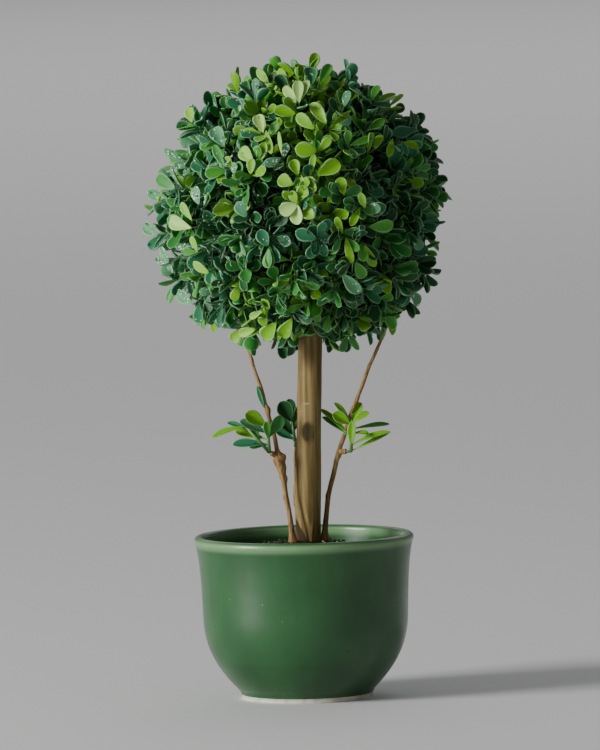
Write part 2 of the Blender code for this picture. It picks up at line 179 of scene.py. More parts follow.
# %% Helpers for finishes
def place_on(material, stretch=(1.0, 1.0, 1.0)):
    """The place on the object, in metres, stretched along each axis."""
    start = Wire(material.node_tree)
    place = start.add("ShaderNodeTexCoord", output="Object")
    return start.add("ShaderNodeMapping", {}, {"Vector": place, "Scale": stretch})


def axis_of(place, axis):
    """One axis of a place, as a number."""
    return place.add("ShaderNodeSeparateXYZ", {}, {0: place}, output=axis)


def cloudy(place, scale, detail=2.0, roughness=0.5):
    """Soft noise from 0 to 1 with `scale` waves a metre."""
    return place.add("ShaderNodeTexNoise", {}, {
        "Vector": place, "Scale": scale, "Detail": detail, "Roughness": roughness})


def distance_to(place, spot):
    """How far a place is from a spot, in metres."""
    return place.add("ShaderNodeVectorMath", {"operation": "DISTANCE"}, {0: place, 1: spot}, output="Value")


def relief(height, strength, depth):
    """A normal that follows a height, which is 1 where the relief stands `depth` metres high."""
    return height.add("ShaderNodeBump", {}, {"Strength": strength, "Distance": depth, "Height": height})


def new_finish(name):
    """An empty Principled material."""
    material = bpy.data.materials.new(name)
    material.use_nodes = True
    return material


def set_finish(material, sockets):
    """Sets the shader's sockets to numbers, to colours or to wires."""
    shader = material.node_tree.nodes["Principled BSDF"]
    for name, value in sockets.items():
        if isinstance(value, Wire):
            material.node_tree.links.new(value.socket, shader.inputs[name])
        elif isinstance(value, tuple):
            shader.inputs[name].default_value = (*value, 1.0)
        else:
            shader.inputs[name].default_value = value
    return material


# %% [markdown]
# ## The cup
# The cup was thrown or moulded and glazed all over, but for the ring it stands on. Its wall is a
# curve turned round the axis, so its surface is a function of the way along its profile and the
# angle round it. The glaze is thicker in the shallow turning rings, and thin and pale where it runs
# off the lip. A Screw modifier could turn the profile, but the grid lets the wall waver a little
# with the angle, as thrown clay does.

# %% The cup's profile
POT_HEIGHT = 0.0733
FOOT_RADIUS, FOOT_HEIGHT, FOOT_WIDTH, FOOT_RECESS = 0.0293, 0.0030, 0.0045, 0.0016
GLAZE_STEP, GLAZE_LINE = 0.0003, 0.0021
BELLY_CONTROL, SHOULDER = (0.0442, 0.0170), (0.0458, 0.0330)
NECK_LEAN, NECK_FLARE_POWER, SHOULDER_BLEND = 0.0010, 4, 0.0100
RIM_RADIUS, LIP_BEAD, LIP_UNDERCUT = 0.0491, 0.0021, 40
WALL, FLOOR_HEIGHT = 0.0036, 0.0056
FILL_TOP, FILL_EDGE = 0.0695, 0.0640


def cubic(points, count):
    """Points along the cubic curve of four control points: each control point is weighed by the
    binomial share of t and 1 - t."""
    t = np.linspace(0.0, 1.0, count)[:, None]
    p = np.asarray(points, float)
    return p[0] * (1 - t) ** 3 + p[1] * 3 * t * (1 - t) ** 2 + p[2] * 3 * t * t * (1 - t) + p[3] * t ** 3


def arc(centre, radius, start, end, count):
    """Points on a circle's arc between two angles in degrees."""
    angle = np.radians(np.linspace(start, end, count))
    return np.stack([centre[0] + radius * np.cos(angle), centre[1] + radius * np.sin(angle)], axis=-1)


def raised(quadratic):
    """The four control points of a curve that was given by three."""
    a, b, c = (np.asarray(point, float) for point in quadratic)
    return [a, a + (b - a) * 2 / 3, c + (b - c) * 2 / 3, c]


def between(first, second, share):
    """The number that lies a share of the way from the first to the second."""
    return first + (second - first) * share


def neck(bead, count):
    """(radius, height) above the shoulder: the radius leans out in step with the height and flares
    with its fourth power, up to where the lip's round bead takes over, a little below level."""
    undercut = math.radians(LIP_UNDERCUT)
    top = (bead[0] + LIP_BEAD * math.cos(undercut), bead[1] - LIP_BEAD * math.sin(undercut))
    t = np.linspace(0, 1, count)
    flare = top[0] - SHOULDER[0] - NECK_LEAN
    radius = SHOULDER[0] + NECK_LEAN * t + flare * t ** NECK_FLARE_POWER
    return np.stack([radius, between(SHOULDER[1], top[1], t)], axis=-1)


def softened(wall):
    """The wall with its radius averaged over a few millimetres of height near the shoulder, where its
    two curves meet, so that the highlight fades out over it."""
    height = wall[:, 1]
    room = np.clip(SHOULDER_BLEND - np.abs(height - SHOULDER[1]), 0, SHOULDER_BLEND / 2)
    nearby = height[:, None] + room[:, None] * np.linspace(-1, 1, 21)
    return np.stack([np.interp(nearby, height, wall[:, 0]).mean(axis=1), height], axis=-1)


def cup_profile():
    """(radius, height) from the middle of the underside, out round the foot, up the outside, over the
    lip and down the inside to the middle of the floor."""
    recess = FOOT_RADIUS - FOOT_WIDTH
    under = [(0.0004, FOOT_RECESS), (recess * 0.5, FOOT_RECESS), (recess - FOOT_RECESS, FOOT_RECESS),
             (recess - FOOT_RECESS / 3, FOOT_RECESS / 4), (recess + 0.0003, 0.0)]
    foot = arc((FOOT_RADIUS - 0.0005, 0.0005), 0.0005, -90, 0, 5)
    glaze = arc((FOOT_RADIUS, GLAZE_LINE + GLAZE_STEP), GLAZE_STEP, -90, 0, 6)
    belly = cubic(raised([(FOOT_RADIUS + GLAZE_STEP, FOOT_HEIGHT + 0.0002), BELLY_CONTROL, SHOULDER]), 44)
    bead = (RIM_RADIUS - LIP_BEAD, POT_HEIGHT - LIP_BEAD)
    lip = arc(bead, LIP_BEAD, -LIP_UNDERCUT, 182, 24)
    inner = cubic([(bead[0] - LIP_BEAD, bead[1] - 0.0012), (bead[0] - LIP_BEAD - 0.0004, 0.0560),
                   (SHOULDER[0] - WALL, 0.0440), (SHOULDER[0] - WALL, SHOULDER[1])], 24)
    bowl = cubic(raised([(SHOULDER[0] - WALL, SHOULDER[1]), (0.0400, 0.0150), (0.0290, FLOOR_HEIGHT)]), 16)
    floor = [(0.0290, FLOOR_HEIGHT), (0.0150, FLOOR_HEIGHT), (0.0004, FLOOR_HEIGHT)]
    wall = softened(np.concatenate([belly[1:], neck(bead, 46)[1:]]))
    parts = [under, foot, glaze, wall, lip[1:], inner, bowl[1:], floor[1:]]
    return np.concatenate([np.asarray(part) for part in parts])


profile = cup_profile()
print(f"cup profile: {len(profile)} points, widest {profile[:, 0].max() * 1000:.1f} mm")


# %% Turn the profile
def turned(profile, steps, waver):
    """Carries (radius, height) points once round the axis. The radius wavers by a small share of
    itself: two slow waves round the axis whose phase drifts with the height."""
    angle = full_turn(steps)
    radius, height = profile[:, :1], profile[:, 1:]
    wave = np.sin(3 * angle + height * 60) + 0.6 * np.sin(7 * angle - height * 90 + 2.0)
    return polar(radius * (1 + waver * wave), angle, height)


# %% The glaze and the bare clay
GLAZE_DEEP_AND_DARK_REFLECTION, GLAZE_GREEN, GLAZE_THIN = (0.010, 0.054, 0.014), (0.025, 0.108, 0.031), (0.190, 0.350, 0.160)
SPECKS = ((223.5, 0.0476), (245.6, 0.0458), (257, 0.0384))
SPECK_RADIUS, SPECK_SIZE, SPECK_COLOUR = 0.0461, (0.00042, 0.00020), (0.26, 0.38, 0.24)


def speck_spots():
    """Places of the specks in the glaze: the three that are seen on the front, and seeded ones round
    the rest of the wall, each at its angle and height."""
    draws = np.random.default_rng(19).uniform(0, 1, (9, 2))
    seeded = [(290 + 280 * turn, 0.020 + 0.045 * rise) for turn, rise in draws]
    turn, height = np.array([*SPECKS, *seeded]).T
    return polar(SPECK_RADIUS, np.radians(turn), height)


def glaze():
    """Green glaze: cloudy at a centimetre's scale, darker towards the bottom and darker still below a
    line low on the belly, a painted dark reflection. A little paler on the lip where it is thin, but
    not on the lip's very top, which is kept darker as painted shade. A few pale specks are in it."""
    finish = new_finish("green_glaze")
    place = place_on(finish)
    height = axis_of(place, 2)
    clouds = cloudy(place, 55).eased(0.10, 0.90)
    streaks = cloudy(place_on(finish, (1.0, 1.0, 0.22)), 190, 2.0).eased(0.10, 0.90)
    # Darker towards the bottom, and below a line low on the belly a painted dark reflection.
    run = height.eased(0.0192, 0.0176) * 0.16
    depth = clouds * 0.62 + streaks * 0.22 + height.eased(0.030, 0.004) * 0.25 + run - 0.10
    colour = depth.blend(GLAZE_GREEN, GLAZE_DEEP_AND_DARK_REFLECTION)
    lip = height.eased(POT_HEIGHT - 0.0058, POT_HEIGHT - 0.0026) * (0.68 + clouds * 0.2)
    # Painted shade: the very top of the lip keeps little of the pale thin glaze, where it turns away from
    # the light.
    lip = lip * (1 - height.eased(POT_HEIGHT - 0.0016, POT_HEIGHT - 0.0004) * 0.8)
    colour = lip.blend(colour, GLAZE_THIN)
    for spot in speck_spots():
        near = distance_to(place, spot).eased(*SPECK_SIZE) * 0.6
        colour = near.blend(colour, SPECK_COLOUR)
    skin = cloudy(place, 130, 2.0) * 0.7 + cloudy(place, 700, 1.0) * 0.12
    return set_finish(finish, {
        "Base Color": colour, "Roughness": 0.25 + clouds * 0.12, "Normal": relief(skin, 0.25, 0.0004),
        "Specular IOR Level": 0.42, "Coat Weight": 0.18, "Coat Roughness": 0.20, "IOR": 1.5})


def bare_clay():
    """Pale fired clay on the foot ring: matt, with fine grit and a little grey wear on its edge."""
    finish = new_finish("bare_clay")
    place = place_on(finish)
    grit = cloudy(place, 1800, 3.0, 0.7)
    worn = cloudy(place, 240, 3.0).eased(0.42, 0.70)
    colour = (worn * 0.6).blend((0.66, 0.63, 0.53), (0.40, 0.37, 0.29))
    return set_finish(finish, {
        "Base Color": colour, "Roughness": 0.72 + grit * 0.2, "Normal": relief(grit, 0.5, 0.0002)})


# %% Make the cup
CUP_STEPS, CUP_WAVER, FOOT_RINGS = 180, 0.0009, 16
ring_height = (profile[:-1, 1] + profile[1:, 1]) / 2
on_foot = (ring_height < GLAZE_LINE) & (np.arange(len(ring_height)) < FOOT_RINGS)
cup = put_mesh("glazed_cup", *close_rings(turned(profile, CUP_STEPS, CUP_WAVER)), [glaze(), bare_clay()],
               np.repeat([*on_foot, 1, 0], CUP_STEPS))
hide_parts("pot")

# %% [markdown]
# ## The moss
# Dark reindeer moss and grit are packed round the stick, so that only the far half shows over the
# lip. Real moss is a mass of threads. At this size a lumpy skin with crumbs in it reads the same, so
# it is one closed surface whose height is a sum of waves, plus loose crumbs pressed into it.


# %% A sum of waves
def waves(x, y, seed, count, low, high):
    """Smooth bumps from -1 to 1 or so: `count` sine waves in seeded directions, with lengths between
    `low` and `high`, added and divided by the root of their number."""
    draws = np.random.default_rng(seed)
    length = draws.uniform(low, high, count)
    heading, phase = draws.uniform(0, 2 * math.pi, (2, count))
    x, y = np.asarray(x)[..., None], np.asarray(y)[..., None]
    along = x * np.cos(heading) + y * np.sin(heading)
    return np.sin(2 * math.pi * along / length + phase).sum(axis=-1) / math.sqrt(count)


# %% The moss's surface
MOSS_MIDDLE, MOSS_WALL, MOSS_BOTTOM, MOSS_DIP, MOSS_STEPS = 0.0140, 0.0430, 0.0560, 0.0006, 150
MOSS_TOP_ENDS, LUMPS_END, LUMPS_FADE = (0.0433, 0.0010), 0.0432, 0.0030


def moss_height(x, y):
    """The moss's height at any place: it falls from the middle to the wall by a smooth step, with
    lumps and fine crumbs that calm down beside the wall."""
    radius = np.hypot(x, y)
    t = np.clip((radius - MOSS_MIDDLE) / (MOSS_WALL - MOSS_MIDDLE), 0, 1)
    mound = FILL_TOP - MOSS_DIP + (FILL_EDGE - FILL_TOP) * (3 - 2 * t) * t * t
    lumps = waves(x, y, 5, 22, 0.0022, 0.0080) * 0.00042 + waves(x, y, 6, 20, 0.0008, 0.0020) * 0.00016
    return mound + lumps * np.clip((LUMPS_END - radius) / LUMPS_FADE, 0, 1)


def moss_rings():
    """The moss as rings: a flat underside inside the cup, its side, and its lumpy top."""
    side = np.array([(0.0004, MOSS_BOTTOM), (0.0200, MOSS_BOTTOM), (0.0405, MOSS_BOTTOM), (0.0424, 0.0575),
                     (MOSS_WALL, 0.0610)])
    radius = np.linspace(*MOSS_TOP_ENDS, 70)
    rings = turned(np.concatenate([side, np.stack([radius, radius], axis=-1)]), MOSS_STEPS, 0.0)
    top = rings[len(side):]
    top[..., 2] = moss_height(top[..., 0], top[..., 1])
    return rings


def moss():
    """Dark moss: nearly black in some patches and olive in others, with brown threads."""
    finish = new_finish("dark_moss")
    place = place_on(finish)
    patches = cloudy(place, 260, 4.0, 0.7).eased(0.35, 0.7)
    threads = cloudy(place, 1500, 4.0, 0.8)
    colour = patches.blend((0.012, 0.022, 0.007), (0.036, 0.056, 0.014))
    colour = threads.eased(0.55, 0.78).blend(colour, (0.070, 0.060, 0.024))
    return set_finish(finish, {
        "Base Color": colour, "Roughness": 0.85 + threads * 0.12, "Normal": relief(threads, 0.9, 0.0008)})


# %% Make the moss
moss_bed = put_mesh("moss_bed", *close_rings(moss_rings()), [moss()])
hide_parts("fill")

# %% [markdown]
# ## The stick and the twigs
# All four are natural wood with thin smooth bark. A limb is a profile carried along a path: at each
# place a ring stands square to the path, and its radius is a function of the height and the angle
# round it, which holds the taper, long soft ridges in the bark, knots and cuts. The same named sizes
# as in the solids put every limb exactly where its solid is.

# %% Paths of the limbs
CLEARANCE = 0.0003
TRUNK_FOOT, TRUNK_TOP = (0.0017, 0.0), (0.0054, 0.0, 0.1752)
TRUNK_LOW_RADIUS, TRUNK_MID_RADIUS, TRUNK_TOP_RADIUS = 0.0057, 0.0055, 0.0052
STEMS = {
    "left_stem": ((-0.0049, -0.0065), (-0.0075, -0.0062, 0.100), (-0.0145, -0.0056, 0.134),
                  (-0.0265, -0.0050, 0.1665)),
    "right_stem": ((0.0092, 0.0030), (0.0105, 0.0020, 0.098), (0.0200, 0.0, 0.125),
                   (0.0435, -0.0020, 0.175)),
    "back_stem": ((-0.0018, 0.0090), (-0.0038, 0.0088, 0.088), (-0.0034, 0.0086, 0.100),
                  (-0.0028, 0.0086, 0.1120)),
}
STEM_FOOT_RADIUS, STEM_TIP_RADIUS, STEM_FLARE, STEM_FLARE_HEIGHT = 0.00125, 0.00065, 0.0011, 0.0030
LIMB_FOOT = FILL_TOP + CLEARANCE


def unit(vectors):
    """Vectors of length one, along the last axis."""
    return vectors / np.maximum(np.linalg.norm(vectors, axis=-1, keepdims=True), 1e-12)


def limb_rings(path, radius, angle):
    """Rings round a path, an array (points, steps, 3): the middle, plus the radius times the cosine
    of the angle on one side vector and its sine on the other. Both are square to the path, whose
    direction is the difference of its neighbours, and the first is as near to +X as can be."""
    run = unit(np.gradient(path, axis=0))
    across = unit(np.cross(np.array([0.0, 1.0, 0.0]), run))
    depth = np.cross(run, across)
    return (path[:, None] + across[:, None] * (radius * np.cos(angle))[..., None]
            + depth[:, None] * (radius * np.sin(angle))[..., None])


def angle_gap(angle, heading):
    """How far an angle is from a heading in degrees, in radians, from -pi to pi."""
    return (angle - math.radians(heading) + math.pi) % (2 * math.pi) - math.pi


# %% [markdown]
# ## The stick
# It is as thick as a pencil, leans a little to the right, and its foot was whittled to a wedge that
# was pushed into the filling. The knife left flat faces. A flat cut across a round stick is simple in
# polar terms: at an angle a from the cut's heading, the cut lies at its depth divided by the cosine
# of a, and the wood ends at whichever is nearer, bark or cut. The bark's relief is the same sum of
# waves as the moss, stretched along the stick.

# %% The stick's surface
TRUNK_CUTS = ((218, 0.0230, 0.0016), (262, 0.0120, 0.0036), (318, 0.0120, 0.0040),
              (40, 0.0110, 0.0038), (120, 0.0140, 0.0036))
TRUNK_SCARS = ((263, 0.1192, 0.0020, 0.0034), (70, 0.1320, 0.0016, 0.0050), (150, 0.1050, 0.0012, 0.0030))
CUT_START, CUT_FACING = 1.04, 0.25


def stick_radius(height, angle):
    """The taper, plus long low ridges, minus a dent with a raised edge at each scar, cut off by the
    knife's flat faces near the foot."""
    rise = (height - LIMB_FOOT) / (TRUNK_TOP[2] - LIMB_FOOT)
    radius = between(TRUNK_LOW_RADIUS, TRUNK_TOP_RADIUS, rise) + 0 * angle
    x, y = np.cos(angle) * TRUNK_MID_RADIUS, np.sin(angle) * TRUNK_MID_RADIUS
    ridges = waves(x + height * 0.035, y + height * 0.02, 3, 16, 0.0025, 0.0070)
    wrinkles = waves(x + height * 0.12, y - height * 0.09, 4, 18, 0.0008, 0.0022)
    swell = waves(height, 0 * height, 8, 6, 0.018, 0.060)
    radius = radius + ridges * 0.00008 + wrinkles * 0.00002 + swell * 0.00010
    for heading, level, wide, tall in TRUNK_SCARS:
        gap = np.hypot(angle_gap(angle, heading) * TRUNK_MID_RADIUS / wide, (height - level) / tall)
        radius = radius - 0.00030 * np.exp(-gap ** 2 * 1.6) + 0.00022 * np.exp(-((gap - 1.25) / 0.35) ** 2)
    for heading, start, depth in TRUNK_CUTS:
        gap = angle_gap(angle, heading)
        share = np.clip((start - (height - LIMB_FOOT)) / start, 0, 1)
        cut = between(TRUNK_LOW_RADIUS * CUT_START, depth, share)
        facing = np.maximum(np.cos(gap), CUT_FACING)
        radius = np.where(facing > CUT_FACING, np.minimum(radius, cut / facing), radius)
    return radius


# %% The stick's bark
BARK_SHINE, BARK_DEPTH = 0.22, 0.00025
SCAR_SPOTS = [(0.0033 + 0.0048 * math.cos(math.radians(heading)),
               TRUNK_MID_RADIUS * math.sin(math.radians(heading)), level)
              for heading, level, _, _ in TRUNK_SCARS]
SCAR_REACHES, SCAR_FLAT = (0.0037, 0.0038, 0.0026), 0.62


def stick_bark():
    """Smooth light brown bark: long soft pale and dark streaks, fine lines, dark scars and a stain, and
    a dark slanting patch on the whittled foot, the left twig's painted shadow."""
    finish = new_finish("stick_bark")
    place = place_on(finish)
    long_place = place_on(finish, (1.0, 1.0, 0.035))
    height = axis_of(place, 2)
    streaks = cloudy(long_place, 520, 3.0, 0.5).eased(0.34, 0.68)
    fine = cloudy(long_place, 2400, 3.0, 0.55)
    blooms = cloudy(place, 95, 3.0).eased(0.46, 0.70)
    colour = streaks.blend((0.138, 0.090, 0.028), (0.285, 0.208, 0.078))
    colour = (blooms * 0.35).blend(colour, (0.320, 0.250, 0.115))
    colour = (fine.eased(0.54, 0.74) * 0.35).blend(colour, (0.095, 0.056, 0.022))
    for (x, y, z), reach in zip(SCAR_SPOTS, SCAR_REACHES):
        near = distance_to(place_on(finish, (1.0, 1.0, SCAR_FLAT)), (x, y, z * SCAR_FLAT))
        near = near + cloudy(place, 900, 2.0) * 0.0012
        colour = (near.eased(reach + 0.0004, reach * 0.72) * 0.88).blend(colour, (0.034, 0.026, 0.009))
    crack = distance_to(place_on(finish, (1.0, 1.0, 3.0)), (0.0026, -0.0052, 0.3960))
    crack = crack.eased(0.0022, 0.0004)
    colour = (crack * 0.60).blend(colour, (0.450, 0.360, 0.210))
    stain = distance_to(place_on(finish, (1.0, 1.0, 0.42)), (0.0042, -0.0052, 0.0646))
    stain = stain.eased(0.0042, 0.0014)
    colour = (stain * 0.55).blend(colour, (0.080, 0.045, 0.018))
    # Painted shadow: the left twig's shadow falls across the whittled foot, painted as a dark slanting
    # patch.
    painted_shadow_slant = axis_of(place, 0) + height * 0.506 + cloudy(place, 500, 2.0) * 0.0010
    painted_shadow_wedge = painted_shadow_slant.eased(0.0381, 0.0374)
    colour = (painted_shadow_wedge * 0.92).blend(colour, (0.026, 0.014, 0.005))
    return set_finish(finish, {
        "Base Color": colour, "Roughness": 0.62 + fine * 0.2, "Specular IOR Level": BARK_SHINE,
        "Normal": relief(fine * 0.6 + streaks * 0.4, 0.5, BARK_DEPTH)})


# %% Make the stick
STICK_RINGS, STICK_STEPS = 281, 88
heights = np.linspace(0, 1, STICK_RINGS)[:, None]
stick_path = np.array([*TRUNK_FOOT, LIMB_FOOT]) * (1 - heights) + np.array(TRUNK_TOP) * heights
angles = full_turn(STICK_STEPS)[None, :]
stick_rings = limb_rings(stick_path, stick_radius(stick_path[:, 2:], angles), angles)
stick = put_mesh("stick", *close_rings(stick_rings), [stick_bark()])
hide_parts("trunk")

# %% [markdown]
# ## The thin twigs
# Each twig has swollen nodes where a side shoot once left it, and the left one a big knot where it
# forks. On the solid that is one soft swelling. Here every node is a bump in the radius that is
# strongest on one side, the knot has folds, and the bark is redder, with small dark marks.

# %% The twigs' surfaces
TWIG_NODES = {
    "left_stem": ((190, 0.0905, 0.0004), (20, 0.0985, 0.0006), (170, 0.0995, 0.0005), (20, 0.1080, 0.0009),
                  (10, 0.1295, 0.0010), (170, 0.1400, 0.0003), (30, 0.1520, 0.0003)),
    "right_stem": ((180, 0.0900, 0.0003), (10, 0.1085, 0.0008), (190, 0.1200, 0.0004), (20, 0.1330, 0.0004),
                   (200, 0.1480, 0.0003), (20, 0.1610, 0.0003)),
    "back_stem": ((200, 0.0860, 0.0003), (30, 0.0990, 0.0004)),
}
KNOT_HEIGHT, KNOT_RISE, KNOT_FALL, KNOT_SIZE = 0.1078, 0.0026, 0.0062, 0.0016
TWIG_MID_RADIUS, NODE_SPAN = 0.0012, 1.1


def twig_radius(name, height, top, angle):
    """The taper, the flare at the foot, the left twig's knot, which ends sooner above than below and
    has folds in it, and a bump at each node that falls away with the height and with the angle from
    its side."""
    rise = (height - LIMB_FOOT) / (top - LIMB_FOOT)
    flare = np.exp(-((height - LIMB_FOOT) / STEM_FLARE_HEIGHT) ** 2)
    radius = between(STEM_FOOT_RADIUS, STEM_TIP_RADIUS, rise) + STEM_FLARE * flare
    x, y = np.cos(angle) * TWIG_MID_RADIUS, np.sin(angle) * TWIG_MID_RADIUS
    ridges = waves(x + height * 0.05, y + height * 0.03, 13, 12, 0.0008, 0.0022)
    swell = waves(height, 0 * height, 14, 8, 0.004, 0.016)
    radius = radius * (1 + ridges * 0.055 + swell * 0.05)
    if name == "left_stem":
        near = np.exp(-((height - KNOT_HEIGHT) / np.where(height > KNOT_HEIGHT, KNOT_RISE, KNOT_FALL)) ** 2)
        folds = waves(x * 1.6 + height * 0.30, y * 1.6 - height * 0.22, 15, 10, 0.0009, 0.0024)
        radius = radius + near * (KNOT_SIZE + folds * 0.00028)
    for heading, level, size in TWIG_NODES[name]:
        side = np.exp(-(angle_gap(angle, heading) / NODE_SPAN) ** 2)
        radius = radius + size * side * np.exp(-((height - level) / (0.0009 + size)) ** 2)
    return radius


# %% The twigs' bark
def twig_bark():
    """Pale tan bark with reddish brown patches and small dark marks, and painted shade at the foot of
    the twig behind the stick."""
    finish = new_finish("twig_bark")
    place = place_on(finish)
    streaks = cloudy(place_on(finish, (1.0, 1.0, 0.14)), 1300, 4.0, 0.6).eased(0.32, 0.66)
    patches = cloudy(place, 150, 3.0).eased(0.44, 0.68)
    marks = cloudy(place, 800, 3.0, 0.7).eased(0.61, 0.71)
    colour = streaks.blend((0.155, 0.082, 0.026), (0.365, 0.240, 0.094))
    colour = (patches * 0.45).blend(colour, (0.215, 0.108, 0.040))
    colour = (marks * 0.80).blend(colour, (0.050, 0.022, 0.008))
    # Painted shade: the foot of the twig behind the stick lies in shadow, so its bark is darkened there.
    painted_shade_at_foot = distance_to(place, (-0.0020, 0.0090, 0.0700)).eased(0.0125, 0.0075)
    colour = (painted_shade_at_foot * 0.85).blend(colour, (0.040, 0.022, 0.009))
    return set_finish(finish, {
        "Base Color": colour, "Roughness": 0.62 + streaks * 0.2, "Specular IOR Level": BARK_SHINE,
        "Normal": relief(streaks * 0.6 + marks * 0.4, 0.7, BARK_DEPTH)})


# %% Make the twigs
TWIG_STEPS, TWIG_RINGS, SHORT_TWIG_RINGS = 22, 240, 110
CROOK, CROOK_RATE, CROOK_SIDE = 0.00022, 330, np.array([1.0, 0.4, 0.0])
bark = twig_bark()
stem_paths = {}
for name, controls in STEMS.items():
    ring_count = SHORT_TWIG_RINGS if name == "back_stem" else TWIG_RINGS
    path = cubic([(*controls[0], LIMB_FOOT), *controls[1:]], ring_count)
    stem_paths[name] = path
    angles = full_turn(TWIG_STEPS)[None, :]
    crook = np.sin(path[:, 2] * CROOK_RATE) * CROOK * np.sin(np.linspace(0, math.pi, len(path)))
    middle = path + crook[:, None] * CROOK_SIDE
    radius = twig_radius(name, path[:, 2:], path[-1, 2], angles)
    twig = put_mesh(name + "_bark", *close_rings(limb_rings(middle, radius, angles)), [bark])
    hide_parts(name)

# %% [markdown]
# ## One leaf
# The leaves are moulded: spoon-shaped, narrow at the root, widest two thirds of the way along and
# round at the tip, with a shallow crease down the middle, cupped sides and a thick rim that catches
# the light, painted paler as a highlight. One leaf is a closed shell over a small grid, with an upper
# and a lower skin that meet at the edge. Every leaf of the tree is that grid, stretched, cupped and
# turned by whole-array sums, so that thousands of leaves cost no more code than one.

# %% The leaf's grid
LEAF_ROWS = np.array([0.13, 0.34, 0.54, 0.72, 0.87, 0.96])
LEAF_SIDES = np.array([-1.0, -0.77, 0.0, 0.77, 1.0])
HIGHLIGHT_RIM_SIDE, SPOON_POWER, STALK_SHARE = 0.7, 0.58, 0.055
CREASE_DEPTH, CREASE_WIDTH, HALF_THICKNESS = 0.25, 0.25, 0.00022


def leaf_grid(rows, sides):
    """The grid of one leaf: the way along t and the way across s of every point, whether it is on the
    upper skin, its faces, and which faces are the pale edge strip, a painted highlight. The first and
    the last point are root and tip."""
    count, width = len(rows), len(sides)
    inner = np.arange(1, width - 1)
    upper = 1 + np.arange(count * width).reshape(count, width)
    lower = upper.copy()
    lower[:, inner] = 1 + count * width + np.arange(count * len(inner)).reshape(count, -1)
    tip = lower.max() + 1
    along = np.concatenate([[0.0], np.repeat(rows, width), np.repeat(rows, len(inner)), [1.0]])
    across = np.concatenate([[0.0], np.tile(sides, count), np.tile(sides[inner], count), [0.0]])
    skin = np.concatenate([[0.0], np.tile(np.abs(sides) < 1, count), -np.ones(count * len(inner)), [0.0]])
    quads, fans = [], []
    for layer, turn in ((upper, 1), (lower, -1)):
        block = np.stack([layer[:-1, :-1], layer[:-1, 1:], layer[1:, 1:], layer[1:, :-1]], axis=-1)
        quads.append(block.reshape(-1, 4)[:, ::turn])
        root_fan = np.stack([np.zeros(width - 1, int), layer[0, 1:], layer[0, :-1]], axis=-1)
        tip_fan = np.stack([np.full(width - 1, tip), layer[-1, :-1], layer[-1, 1:]], axis=-1)
        fans += [root_fan[:, ::turn], tip_fan[:, ::turn]]
    highlight_strip = np.abs((sides[:-1] + sides[1:]) / 2) > HIGHLIGHT_RIM_SIDE
    highlight_rims = [np.tile(highlight_strip, 2 * (count - 1)), np.tile(np.repeat([False, True], width - 1), 2)]
    return {"along": along, "across": across, "skin": skin, "highlight_rims": highlight_rims,
            "faces": [np.concatenate(quads), np.concatenate(fans)]}


small_leaf = leaf_grid(LEAF_ROWS, LEAF_SIDES)
fine_leaf = leaf_grid(np.array([0.06, 0.14, 0.25, 0.37, 0.49, 0.6, 0.7, 0.79, 0.87, 0.93, 0.975]),
                      np.array([-1.0, -0.84, -0.5, -0.2, 0.0, 0.2, 0.5, 0.84, 1.0]))
print("one small leaf has", sum(len(kind) for kind in small_leaf["faces"]), "faces")


# %% Stretch, cup and turn the grid
def on_leaves(leaves, t, s, lift):
    """Places at t along and s across each leaf, an array (leaves, places, 3), and the leaves' side and
    normal vectors. The half width is the half of the widest, times a sine that swells past the
    middle, and never less than the stalk. The blade lies on a cup that rises with the square of the
    way across, bends back with the square of the way along, and is creased at the middle. The places
    stand above it by `lift`."""
    length, width = leaves["length"][:, None], leaves["width"][:, None]
    swell = np.sin(math.pi * t ** leaves["swell"][:, None]) ** SPOON_POWER
    half = np.maximum(width / 2 * swell, width * STALK_SHARE * (t < 0.999))
    cup = leaves["cup"][:, None] * half * (s * s - CREASE_DEPTH * np.exp(-(s / CREASE_WIDTH) ** 2))
    height = cup + leaves["bend"][:, None] * length * t * t + lift
    side = unit(np.cross(leaves["facing"], leaves["along"]))[:, None]
    normal = unit(np.cross(leaves["along"], side[:, 0]))[:, None]
    middle = leaves["root"][:, None] + leaves["along"][:, None] * (length * t)[..., None]
    return middle + side * (half * s)[..., None] + normal * height[..., None], side, normal


def put_leaves(name, grid, leaves, blade_finish, rim_highlight_finish):
    """One piece that holds all the given leaves. Its skins stand off the blade's middle by half its
    thickness, and by half of that at the edges."""
    t, s = grid["along"], grid["across"]
    block, _, _ = on_leaves(leaves, t, s, HALF_THICKNESS * grid["skin"] * (1 - 0.5 * s * s))
    highlight_rims = np.concatenate([np.tile(rim_highlight, len(block)) for rim_highlight in grid["highlight_rims"]])
    return put_mesh(name, *repeated(block, grid["faces"]), [blade_finish, rim_highlight_finish], highlight_rims)


def pick(leaves, chosen):
    """The chosen leaves out of a set of leaf arrays."""
    return {key: values[chosen] for key, values in leaves.items()}


def spot_on(leaves, share):
    """The place a share of the way along each leaf."""
    return leaves["root"] + leaves["along"] * (leaves["length"] * share)[:, None]


# %% [markdown]
# ## Leaf colours
# The real tree mixes sprigs of several plastics: blue-green, mid green and a bright yellow-green,
# some of them dusted with white. Each sprig has one colour, so the colours are plain, and sprigs are
# dealt a colour as cards are dealt. A painted texture over thousands of leaves would blur their
# edges. The rim of each blade is a paler mix of its own colour, a painted highlight for the light
# its thick edge catches.

# %% The tints
TINTS = {
    "blue_green": ((0.022, 0.150, 0.062), 0.40),
    "mid_green": ((0.034, 0.208, 0.032), 0.40),
    "deep_green": ((0.010, 0.080, 0.018), 0.42),
    "fresh_green": ((0.062, 0.300, 0.030), 0.42),
    "yellow_green": ((0.140, 0.355, 0.007), 0.42),
    "lime": ((0.215, 0.470, 0.040), 0.44),
    "frosted": ((0.085, 0.265, 0.118), 0.50),
    "pale_lime": ((0.360, 0.600, 0.150), 0.46),
}
TINT_NAMES = list(TINTS)
